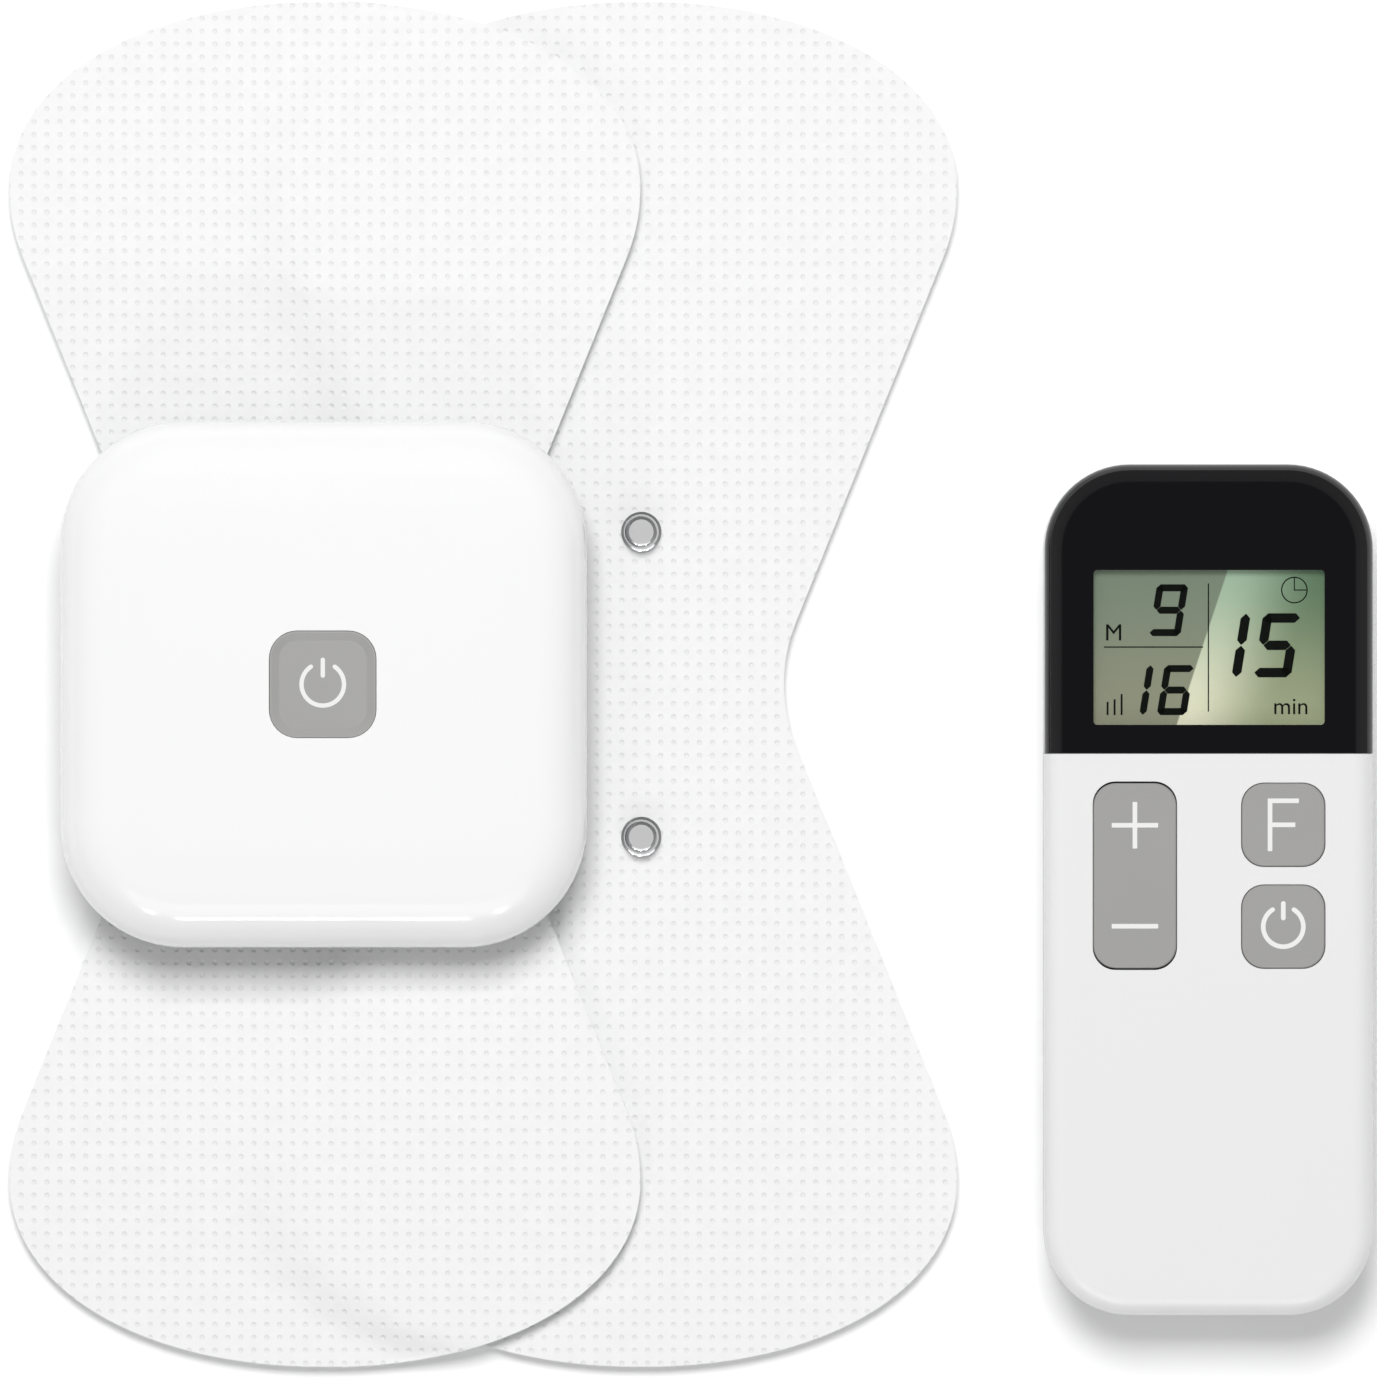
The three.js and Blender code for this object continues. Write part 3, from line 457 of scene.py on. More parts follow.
# %% [markdown]
# ## The embossed cloth
# The pads' white face is spun-bonded non-woven cloth: loose fibres pressed flat and welded together at a
# square grid of small round points. The grid follows the cloth's own flat cut, so it is read from a UV
# map in metres. Between the bonds lies a fine tangle of fibres, made from stretched noise at two angles.
# Each bond is also painted a little darker, a painted shade in its recess.
# %% Cloth finish
def fibre_height(tree, place, turn):
    mapping = tree.nodes.new("ShaderNodeMapping")
    mapping.inputs["Rotation"].default_value = (0, 0, math.radians(turn))
    mapping.inputs["Scale"].default_value = (1.0, 0.12, 1.0)
    tree.links.new(place, mapping.inputs["Vector"])
    return noise_node(tree, mapping.outputs["Vector"], 5200.0, 3.0)


def cloth_finish():
    material = new_finish("embossed non-woven")
    tree = material.node_tree
    shader = shader_of(material)
    set_inputs(shader, {"Sheen Weight": 0.12, "Sheen Roughness": 0.5, "Specular IOR Level": 0.25})
    cut = tree.nodes.new("ShaderNodeUVMap")
    cut.uv_map = "flat cut"
    place = cut.outputs["UV"]
    dimples = place_group(material, dimple_group)
    tree.links.new(place, dimples.inputs["Place"])
    fibres = math_node(tree, "ADD", fibre_height(tree, place, 28), fibre_height(tree, place, -34))
    fibre_share = math_node(tree, "MULTIPLY", fibres, 0.05)
    height = math_node(tree, "ADD", dimples.outputs["Height"], fibre_share)
    add_bump(material, height, 1.0, 0.11 * mm)
    cloudy = ramp_value(tree, noise_node(tree, place, 420.0, 4.0), 0.3, 0.7, 0.0, 0.16)
    # Each dimple is painted a little darker: a painted shade in its recess. The cloudy noise added to it is
    # the cloth's own random variation.
    painted_dimple_shade = math_node(tree, "MULTIPLY", dimples.outputs["Mask"], 0.22)
    painted_shade_and_cloudiness = math_node(tree, "ADD", painted_dimple_shade, cloudy)
    white = mix_colour(tree, painted_shade_and_cloudiness, (0.92, 0.92, 0.92), (0.80, 0.80, 0.80))
    tree.links.new(white, shader.inputs["Base Color"])
    roughness = ramp_value(tree, dimples.outputs["Mask"], 0.0, 1.0, 0.85, 0.55)
    tree.links.new(roughness, shader.inputs["Roughness"])
    return material


cloth = cloth_finish()

# %% [markdown]
# ## The cut of a pad
# A pad is a bow tie: two lobes with a squarish-elliptical end, a shoulder arc, a straight side that leans
# in, and a hollow waist. One formula gives half its width at any distance along it, with the same few
# sizes as the measured model.
# %% Pad outline
cover_low, cover_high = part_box("spare_cover")
pad_width = cover_high.x - cover_low.x
pad_length = (cover_high.y - cover_low.y) * 1.0015
shoulder_height = 56.7 * mm
shoulder_radius = 20.7 * mm
side_slope = math.radians(22)
waist_radius = 18.85 * mm
lobe_fullness = 2.1
shoulder_end = shoulder_height - shoulder_radius * math.sin(side_slope)
side_top = pad_width / 2 - shoulder_radius * (1 - math.cos(side_slope))
sharp_waist = side_top - math.tan(side_slope) * shoulder_end
waist_half = sharp_waist + waist_radius * (1 / math.cos(side_slope) - 1)


def half_width(along):
    y = abs(along)
    if y <= waist_radius * math.sin(side_slope):
        return waist_half + waist_radius - math.sqrt(waist_radius ** 2 - y ** 2)
    if y <= shoulder_end:
        return sharp_waist + math.tan(side_slope) * y
    if y <= shoulder_height:
        return pad_width / 2 - shoulder_radius + math.sqrt(shoulder_radius ** 2 - (shoulder_height - y) ** 2)
    rise = min((y - shoulder_height) / (pad_length / 2 - shoulder_height), 1)
    return pad_width / 2 * (1 - rise ** lobe_fullness) ** (1 / lobe_fullness)


print("pad", round(pad_width / mm, 1), "x", round(pad_length / mm, 1), "waist", round(2 * waist_half / mm, 1))


# %% [markdown]
# ## Laying the cloth
# A grid is warped into the bow-tie cut, row by row, with its rows closer together at the round ends. Its
# flat shape is kept as a UV map. Then every point is laid on the measured cover under it, found with a
# ray from above, and the heights are averaged a few times, because cloth can't fold as sharply as the
# model's facets. A faint waviness is added, and Solidify gives the sheet its thickness.
# %% Cloth cover
cover_thickness = 0.45 * mm
cover_ripple = 0.10 * mm


def cover_sheet(name, node, rows=168, columns=76):
    low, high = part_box(node)
    middle = (low + high) / 2
    bpy.ops.mesh.primitive_grid_add(x_subdivisions=columns, y_subdivisions=rows, size=2)
    sheet = settle(name)
    for vertex in sheet.data.vertices:
        along = pad_length / 2 * math.sin(vertex.co.y * math.radians(88.6))
        vertex.co = (vertex.co.x * half_width(along), along, 0)
    sheet.data.uv_layers[0].name = "flat cut"
    for loop in sheet.data.loops:
        sheet.data.uv_layers[0].data[loop.index].uv = sheet.data.vertices[loop.vertex_index].co.xy
    lay_on(sheet, node, middle)
    step = sheet.modifiers.new("thickness", "SOLIDIFY")
    step.thickness = cover_thickness
    step.offset = -1
    only(sheet)
    bpy.ops.object.modifier_apply(modifier=step.name)
    bpy.ops.object.shade_smooth_by_angle(angle=math.radians(50))
    return sheet


def lay_on(sheet, node, middle, inward=0.996, sweeps=12):
    """The rays start a little inward, so that those of the rim still meet the measured cover."""
    tree = BVHTree.FromObject(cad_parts[node], bpy.context.evaluated_depsgraph_get())
    heights = []
    for vertex in sheet.data.vertices:
        start = Vector((middle.x + vertex.co.x * inward, vertex.co.y * inward, 0.05))
        hit = tree.ray_cast(start, Vector((0, 0, -1)))[0]
        heights.append(hit.z if hit else tree.find_nearest(start.xy.to_3d())[0].z)
    neighbours = [[] for vertex in sheet.data.vertices]
    for edge in sheet.data.edges:
        first, second = edge.vertices
        neighbours[first].append(second)
        neighbours[second].append(first)
    for sweep in range(sweeps):
        around = [sum(heights[near] for near in nearby) / len(nearby) for nearby in neighbours]
        heights = [0.4 * own + 0.6 * mean for own, mean in zip(heights, around)]
    for index, vertex in enumerate(sheet.data.vertices):
        wave = noise.noise(Vector((vertex.co.x, vertex.co.y, middle.x)) * 45.0) + 0.5
        lift = cover_ripple * max(wave, 0.0)
        vertex.co = (vertex.co.x + middle.x, vertex.co.y, heights[index] + lift)


for side, under in (("spare", ["floor"]), ("front", ["spare_cloth", "floor"])):
    cover = cover_sheet(f"{side}_cloth", f"{side}_cover")
    dress(cover, cloth, f"{side}_pad", "pad_fabric", f"{side}_cover")

# %% [markdown]
# ## The snap studs
# A stud is a turned, nickel-plated snap: a thin flange on the cloth, a short neck and a bulb that a
# spring in the receiver grips. It is raised from a disc as on a lathe, ring by ring: each step pulls the
# top face up and scales it to the profile's next radius.
# %% Turned piece
def turned(name, place, profile, sides=64):
    """profile is a list of (radius, height) from the bottom up, standing on a place."""
    radius, height = profile[0]
    bpy.ops.mesh.primitive_circle_add(vertices=sides, radius=radius, fill_type="NGON",
                                      location=place + Vector((0, 0, height)))
    piece = settle(name)
    bpy.ops.object.mode_set(mode="EDIT")
    bpy.ops.mesh.select_all(action="SELECT")
    for next_radius, next_height in profile[1:]:
        rise = (0, 0, next_height - height)
        bpy.ops.mesh.extrude_region_move(TRANSFORM_OT_translate={"value": rise})
        ratio = next_radius / radius
        centre = place + Vector((0, 0, next_height))
        bpy.ops.transform.resize(value=(ratio, ratio, 1), center_override=centre)
        radius, height = next_radius, next_height
    face_outward()
    return piece


def stud_profile():
    flange = 2.3 * mm
    bulb_ring, bulb_radius, bulb_height = 1.2 * mm, 0.8 * mm, 1.7 * mm
    neck = 1.5 * mm
    profile = [(flange - 0.1 * mm, 0.0), (flange, 0.08 * mm), (flange, 0.2 * mm)]
    profile += [(flange - 0.12 * mm, 0.3 * mm), (neck + 0.2 * mm, 0.34 * mm)]
    profile += [(neck, 0.5 * mm), (neck, 0.9 * mm)]
    for degrees in range(-60, 91, 15):
        angle = math.radians(degrees)
        ring = bulb_ring + bulb_radius * math.cos(angle)
        profile.append((ring, bulb_height + bulb_radius * math.sin(angle)))
    return profile


for side in ("front", "spare"):
    for end in ("upper", "lower"):
        low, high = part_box(f"{side}_stud_{end}")
        stud = turned(f"{side}_snap_{end}", over(f"{side}_stud_{end}", low.z), stud_profile())
        soften(stud)
        dress(stud, chrome, f"{side}_pad", "snap_chrome", f"{side}_stud_{end}")
        stud.data.materials.append(satin_nickel)
        for face in stud.data.polygons:
            if face.normal.z > 0.98 and face.center.z > high.z - 0.1 * mm:
                face.material_index = 1

# %% [markdown]
# ## The receiver's upper shell
# The shell is a soft square pillow in high-gloss white. A box that is taller than the real one is
# bevelled with a 7 mm arc and then squeezed in height, because the real edge rolls further in than down.
# The top face is inset four times and lifted a little less each time, which gives the faint crown that
# keeps a glossy lid from looking like flat glass. The inside is cut out, and then the square opening for
# the button.
# %% Upper shell
top_low, top_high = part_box("receiver_top_shell")
centre = (top_low + top_high) / 2
half = (top_high.x - top_low.x) / 2
case_corner = 14 * mm
case_wall = 1.6 * mm
edge_in, edge_down = 7 * mm, 6 * mm
crown = 0.35 * mm
crown_step = 1.3 * mm
case_soft = 0.08 * mm


def pillow(name, inset):
    """The lid's outer form, cut smaller by an inset, with its underside well below the split."""
    reach = half - inset
    depth = 20 * mm
    peak = top_high.z - inset - crown
    low = (centre.x - reach, centre.y - reach, peak - depth)
    high = (centre.x + reach, centre.y + reach, peak)
    piece = rounded_block(name, low, high, case_corner - inset, top=edge_in, steps=20, rim_steps=14)
    choose(piece, "EDGE", everything)
    squeeze = edge_down / edge_in
    bpy.ops.transform.resize(value=(1, 1, squeeze), center_override=(centre.x, centre.y, peak))
    done()
    choose(piece, "FACE", level(peak))
    for share in (0.4, 0.3, 0.2, 0.1):
        bpy.ops.mesh.inset(thickness=crown_step)
        bpy.ops.transform.translate(value=(0, 0, crown * share))
    done()
    return piece


upper = pillow("receiver_lid", 0.0)
carve(upper, pillow("hollow", case_wall))
wide = 2 * half
carve(upper, rounded_block("below", (centre.x - wide, -wide, -wide), (centre.x + wide, wide, top_low.z)))
button_low, button_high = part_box("receiver_power_button")
cap_half = 6.05 * mm
cap_corner = 3.15 * mm
slit = 0.05 * mm
opening = cap_half + slit
carve(upper, rounded_block(
    "opening", (centre.x - opening, centre.y - opening, top_high.z - 4 * mm),
    (centre.x + opening, centre.y + opening, top_high.z + 4 * mm), cap_corner + slit, steps=8))
soften(upper, case_soft, crease=30)
dress(upper, white_gloss, "receiver", "white_gloss_plastic", "receiver_top_shell")

# %% [markdown]
# ## The receiver's lower shell
# A shallow tray in the same outline with a smaller rolled foot. Two round bosses stand out of its
# underside and hold the snap sockets, four countersunk holes take the case screws, and a slot in the
# near side opens on the charging socket.
# %% Lower shell
tray_low, tray_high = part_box("receiver_bottom_shell")
case_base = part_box("receiver_screw_1")[0].z - 0.1 * mm
foot_edge = 2.2 * mm
boss_radius = 4.6 * mm
boss_edge = 0.4 * mm
socket_bore = 3.1 * mm


def tray(name, inset, top):
    low = (tray_low.x + inset, tray_low.y + inset, case_base + inset)
    high = (tray_high.x - inset, tray_high.y - inset, top)
    return rounded_block(name, low, high, case_corner - inset, bottom=foot_edge, steps=20, rim_steps=6)


def screw_hole(case, place, head, head_depth, shaft, length):
    """A wide well for a screw's head and a narrow hole for its shaft, both drilled from below."""
    carve(case, drum("counterbore", place, head, head_depth, 32))
    carve(case, drum("clearance", place, shaft, length, 24))


lower = tray("receiver_tray", 0.0, tray_high.z)
carve(lower, tray("hollow", case_wall, tray_high.z + 5 * mm))
for end in ("upper", "lower"):
    place = over(f"receiver_socket_{end}", tray_low.z)
    boss = drum("boss", place, boss_radius, case_base + case_wall - tray_low.z, 64)
    choose(boss, "EDGE", level(tray_low.z))
    bpy.ops.mesh.bevel(offset=boss_edge, segments=4, affect="EDGES")
    done()
    carve(lower, boss, "UNION")
    carve(lower, drum("bore", place - Vector((0, 0, mm)), socket_bore, 12 * mm, 48))
for number in range(1, 5):
    place = over(f"receiver_screw_{number}", case_base - mm)
    screw_hole(lower, place, head=1.85 * mm, head_depth=2.15 * mm, shaft=1.05 * mm, length=8 * mm)
port_low, port_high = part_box("receiver_charging_port")
room = 0.25 * mm
carve(lower, rounded_block(
    "slot", (port_low.x - room, tray_low.y - 5 * mm, port_low.z - room / 2),
    (port_high.x + room, port_low.y + 2 * mm, port_high.z + room / 2)))
soften(lower, case_soft, crease=30)
dress(lower, light_grey, "receiver", "light_grey_plastic", "receiver_bottom_shell")


# %% [markdown]
# ## The receiver's button
# A grey cap, level with the lid at its rim and dished inside it. The rim is made by insetting the top
# face, and the dish by pushing the inner face down. The power sign is a white print: a ring with a gap
# for the bar, drawn by spinning a small upright rectangle round the ring's centre.
# %% Printed signs
ink = surface("white ink", (0.88, 0.88, 0.87), 0.4, 0.5, depth=0.02, wear=0.0)
ink_height = 0.03 * mm


def power_sign(name, middle, radius, stroke, gap=34):
    """middle is the sign's centre on the surface. The ring runs from one side of the gap to the other."""
    start = math.radians(90 - gap)
    ring = radius - stroke / 2
    sweep = 2 * math.pi - 2 * math.radians(gap)
    foot = middle + Vector((ring * math.cos(start), ring * math.sin(start), ink_height / 2))
    bpy.ops.mesh.primitive_plane_add(size=1, location=foot, rotation=(math.pi / 2, 0, start))
    bpy.context.object.scale = (stroke, ink_height, 1)
    arc = settle("arc")
    bpy.ops.object.mode_set(mode="EDIT")
    bpy.ops.mesh.select_all(action="SELECT")
    bpy.ops.mesh.spin(steps=40, angle=sweep, center=middle, axis=(0, 0, 1))
    face_outward()
    for angle in (start, math.pi - start):
        tip = middle + Vector((ring * math.cos(angle), ring * math.sin(angle), 0))
        carve(arc, drum("tip", tip, stroke / 2, ink_height, 16), "UNION")
    bar_low = middle + Vector((-stroke / 2, radius * 0.28, 0))
    bar_high = middle + Vector((stroke / 2, radius * 1.14, ink_height))
    bar = rounded_block("bar", bar_low, bar_high, stroke * 0.49, steps=6)
    return join_all(name, [arc, bar])


# %% Dished button
rim_width = 0.16 * mm
slope_width, slope_depth = 0.9 * mm, 0.60 * mm
floor_width, floor_depth = 0.25 * mm, 0.03 * mm
cap_low = Vector((centre.x - cap_half, centre.y - cap_half, button_high.z - 2.5 * mm))
cap_high = Vector((centre.x + cap_half, centre.y + cap_half, button_high.z))
cap = rounded_block("receiver_button_cap", cap_low, cap_high, cap_corner, steps=16)
choose(cap, "FACE", level(cap_high.z))
for width, depth in ((rim_width, 0.0), (slope_width, slope_depth), (floor_width, floor_depth)):
    bpy.ops.mesh.inset(thickness=width)
    bpy.ops.transform.translate(value=(0, 0, -depth))
done()
lip = 0.9 * mm
carve(cap, rounded_block(
    "lip", (cap_low.x - lip, cap_low.y - lip, cap_low.z),
    (cap_high.x + lip, cap_high.y + lip, cap_low.z + 0.6 * mm), cap_corner + lip, steps=8), "UNION")
plunger_base = Vector((centre.x, centre.y, button_low.z))
carve(cap, drum("plunger", plunger_base, 1.5 * mm, cap_low.z + 0.2 * mm - button_low.z, 32), "UNION")
soften(cap, 0.06 * mm, crease=28, smooth=8)
dress(cap, button_grey, "receiver_button", "receiver_button_grey", "receiver_power_button")
sign_place = Vector((centre.x, centre.y, cap_high.z - slope_depth - floor_depth))
sign = power_sign("receiver_power_sign", sign_place, 2.67 * mm, 0.5 * mm)
dress(sign, ink, "receiver_button", "receiver_button_grey")

# %% [markdown]
# ## The remote's outer form
# All the remote's shells come from one form, as the real ones come from one tool design: a long block
# with round corners and a rolled edge on both faces. Each shell is a copy of it, cut to its own region.
# %% Remote form
rear_low, rear_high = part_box("remote_rear_shell")
front_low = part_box("remote_front_shell")[0]
lens_low, lens_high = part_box("remote_display_lens")
form_low = Vector(rear_low)
form_high = Vector((rear_high.x, rear_high.y, lens_high.z))
remote_x = (form_low.x + form_high.x) / 2
remote_corner = 9.75 * mm
remote_edge = 2.4 * mm
remote_wall = 1.5 * mm
remote_soft = 0.06 * mm


def remote_form(name, inset=0.0):
    gap = Vector((inset, inset, inset))
    edge = max(remote_edge - inset / 2, 0.6 * mm)
    return rounded_block(name, form_low + gap, form_high - gap, remote_corner - inset,
                         top=edge, bottom=edge, steps=16, rim_steps=14)


def region(name, low_y=-0.1, high_y=0.1, low_z=-0.02, high_z=0.03):
    return rounded_block(name, (form_low.x - 0.01, low_y, low_z), (form_high.x + 0.01, high_y, high_z))


# %% [markdown]
# ## Front shell, lens and rear shell
# The white front shell has three key openings, and the rocker's has more room at its ends, because it
# tilts. The black lens caps the display end and wraps over its edge, with a window cut through its print.
# The rear shell is light grey, with a channel for the battery door, two countersunk screws and a round
# well for the coin cell.
# %% Front shell
front = remote_form("remote_front")
carve(front, remote_form("hollow", remote_wall))
carve(front, region("rear part", high_z=front_low.z))
carve(front, region("lens part", low_y=lens_low.y - 0.05 * mm))
key_lip = 0.6 * mm
key_corner = 2.6 * mm
key_slit = 0.05 * mm
rocker_slit = 0.18 * mm
for key, end_slit in (("rocker", rocker_slit), ("function", key_slit), ("power", key_slit)):
    low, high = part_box(f"remote_{key}_key")
    shrink_x, shrink_y = key_lip - key_slit, key_lip - end_slit
    carve(front, rounded_block(
        "key opening", (low.x + shrink_x, low.y + shrink_y, low.z + 1.2 * mm),
        (high.x - shrink_x, high.y - shrink_y, high.z + 2 * mm), key_corner, steps=10))
soften(front, remote_soft, crease=30)
dress(front, remote_white, "remote", "white_gloss_plastic", "remote_front_shell")

# %% Carrier frame: what shows of the front shell through the window, and holds the display
screen_low, screen_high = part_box("remote_screen")
carrier_low = Vector((form_low.x + 3 * mm, lens_low.y - 1 * mm, screen_low.z + 0.6 * mm))
carrier_high = Vector((form_high.x - 3 * mm, form_high.y - 3 * mm, screen_high.z))
carrier = rounded_block("remote_carrier", carrier_low, carrier_high, 6 * mm, steps=8)
around = Vector((0.2 * mm, 0.2 * mm, 5 * mm))
carve(carrier, rounded_block("display seat", screen_low - around, screen_high + around))
soften(carrier, 0.05 * mm)
dress(carrier, plastic_black, "remote", "black_plastic")

# %% Lens with its window
window_wide, window_tall = 26.3 * mm, 17.6 * mm
window_half = Vector((window_wide / 2, window_tall / 2, 0))
window_corner = 0.4 * mm
window_middle = (screen_low + screen_high) / 2
lens = remote_form("remote_lens")
carve(lens, region("front part", high_y=lens_low.y))
carve(lens, region("rear part", high_z=lens_low.z))
lens_front = 1.2 * mm
inside_low = form_low + Vector((remote_wall, remote_wall, -0.01))
inside_high = form_high - Vector((remote_wall, remote_wall, lens_front))
carve(lens, rounded_block("inside", inside_low, inside_high, remote_corner - remote_wall))
through = window_half + Vector((0, 0, 0.02))
carve(lens, rounded_block("window", window_middle - through, window_middle + through, window_corner, steps=4))
soften(lens, remote_soft, crease=30)
dress(lens, black_gloss, "remote", "black_display_lens", "remote_display_lens")

# %% Clear pane in the window, level with the lens
def pane_finish():
    """Clear acrylic: mostly see-through, with its gloss kept by a high index on the little that shows."""
    material = surface("clear pane", (0.02, 0.025, 0.02), 0.03, 0.09, depth=0.0, wear=0.0)
    set_inputs(shader_of(material), {"Alpha": 0.08, "IOR": 2.4})
    return material


pane_edge = Vector((0.02 * mm, 0.02 * mm, 0))
pane_low = Vector((*(window_middle - window_half + pane_edge).xy, form_high.z - 0.9 * mm))
pane_high = Vector((*(window_middle + window_half - pane_edge).xy, form_high.z - 0.02 * mm))
pane = rounded_block("remote_window_pane", pane_low, pane_high, window_corner, steps=4)
soften(pane)
dress(pane, pane_finish(), "remote", "black_display_lens")

# %% Rear shell
door_low, door_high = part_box("remote_battery_door")
rear = remote_form("remote_rear")
carve(rear, remote_form("hollow", remote_wall))
carve(rear, region("front part", low_z=rear_high.z))
floor_block = remote_form("plateau", 0.5 * mm)
carve(floor_block, region("plateau length", high_y=door_high.y + 12 * mm, high_z=2.7 * mm), "INTERSECT")
carve(rear, floor_block, "UNION")
gap = 0.15 * mm
tongue = 0.9 * mm
door_thick = 1.5 * mm
channel_half = (door_high.x - door_low.x) / 2 - tongue + gap


def door_bar(name, half, low_y, high_y, low_z, high_z):
    """A bar across the door's middle line, for what slides and for what it slides in."""
    return rounded_block(name, (remote_x - half, low_y, low_z), (remote_x + half, high_y, high_z))


channel_end = door_high.y + gap
carve(rear, door_bar("channel", channel_half, -0.1, channel_end, -0.01, door_thick + 0.1 * mm))
carve(rear, door_bar("groove", channel_half + tongue, -0.1, channel_end, 0.68 * mm, 1.62 * mm))
coin_well = 10.3 * mm
carve(rear, drum("coin well", over("remote_coin_cell", -mm), coin_well, 12 * mm, 64))
for number in (1, 2):
    place = over(f"remote_screw_{number}", 0.5 * mm)
    carve(rear, drum("post", place, 2.4 * mm, 5.4 * mm, 32), "UNION")
    start = place - Vector((0, 0, mm))
    screw_hole(rear, start, head=1.8 * mm, head_depth=1.6 * mm, shaft=1.0 * mm, length=9 * mm)
soften(rear, remote_soft, crease=30)
dress(rear, light_grey, "remote", "light_grey_plastic", "remote_rear_shell")

# %% Battery door: it follows the case's end, with a tongue along each side and grip ribs for a thumb
door = remote_form("remote_door")
slab_half = channel_half - gap
slab = door_bar("slab", slab_half, -0.1, door_high.y, -0.01, door_thick)
tongues = rounded_block(
    "tongues", (door_low.x, door_low.y, 0.75 * mm), (door_high.x, door_high.y, door_thick))
carve(slab, tongues, "UNION")
carve(door, slab, "INTERSECT")
rib_pitch = 1.6 * mm
rib_half = 0.35 * mm
for rib in range(5):
    rib_y = form_low.y + 8 * mm + rib * rib_pitch
    carve(door, rounded_block(
        "rib", (remote_x - slab_half / 2, rib_y - rib_half, -mm),
        (remote_x + slab_half / 2, rib_y + rib_half, rib_half), 0.34 * mm, steps=4))
soften(door, remote_soft, crease=30)
dress(door, light_grey, "battery_door", "light_grey_plastic", "remote_battery_door")

# %% [markdown]
# ## Keys and their signs
# A rocker and two square keys in satin grey stand level with the shell, each with a lip below that keeps
# it in. Their signs are thin white prints: plus, minus, F and the power ring, made from small rounded
# strokes that lie a few hundredths of a millimetre over the key.
# %% Keys
middles = {}
for key in ("rocker", "function", "power"):
    low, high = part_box(f"remote_{key}_key")
    cap_low = Vector((low.x + key_lip, low.y + key_lip, low.z))
    cap_high = Vector((high.x - key_lip, high.y - key_lip, high.z))
    body = rounded_block(f"{key}_key_cap", cap_low, cap_high, key_corner, top=0.3 * mm, rim_steps=4)
    rim = rounded_block("lip", low, (high.x, high.y, low.z + key_lip), key_corner + key_lip, steps=8)
    carve(body, rim, "UNION")
    soften(body)
    dress(body, key_grey, f"{key}_key", "key_grey", f"remote_{key}_key")
    middles[key] = over(f"remote_{key}_key", form_high.z)

# %% Signs on the keys
print_stroke = 0.53 * mm
key_ink = surface("key ink", (0.88, 0.88, 0.87), 0.45, 0.55, depth=0.02, wear=0.0)


def stroke_block(name, middle, width, length):
    low = (middle.x - width / 2, middle.y - length / 2, middle.z)
    high = (middle.x + width / 2, middle.y + length / 2, middle.z + ink_height)
    return rounded_block(name, low, high, 0.06 * mm, steps=2)


arm = 5.3 * mm
reach = 5.75 * mm
rocker_middle = middles["rocker"]
plus_place = rocker_middle + Vector((0, reach, 0))
plus = stroke_block("rocker_plus_sign", plus_place, arm, print_stroke)
carve(plus, stroke_block("upright", plus_place, print_stroke, arm), "UNION")
dress(plus, key_ink, "rocker_key", "key_grey")
minus = stroke_block("rocker_minus_sign", rocker_middle - Vector((0, reach, 0)), arm, print_stroke)
dress(minus, key_ink, "rocker_key", "key_grey")

# %% The letter F and the power sign
stem = 6.0 * mm
top_arm = 3.55 * mm
left = middles["function"] + Vector((print_stroke / 2 - top_arm / 2, 0, 0))
letter = stroke_block("function_sign", left, print_stroke, stem)
for length, height in ((top_arm, stem / 2 - print_stroke / 2), (3.15 * mm, 0.0)):
    from_stem = length - print_stroke / 2
    place = left + Vector((from_stem / 2, height, 0))
    carve(letter, stroke_block("arm", place, from_stem, print_stroke), "UNION")
drop_slivers(letter)
dress(letter, key_ink, "function_key", "key_grey")
sign = power_sign("remote_power_sign", middles["power"], 2.55 * mm, print_stroke, gap=32)
dress(sign, key_ink, "power_key", "key_grey")

# %% [markdown]
# ## The liquid-crystal display
# The glass is grey-green and lighter towards the bottom. Right of a slanting line it carries a painted
# reflection, a lighter area such as a bright room would leave in such a glass, and the glass also glows
# a little, a painted light. It is painted with its own object coordinates, shifted and scaled so that
# they count millimetres right and up from the window's top left corner. The characters are real thin
# bars on the glass: each digit has up to seven, with one-step bevels for their pointed ends, leaning the way
# such digits do.
# %% Display glass
window_left = window_middle.x - window_half.x
window_top = window_middle.y + window_half.y


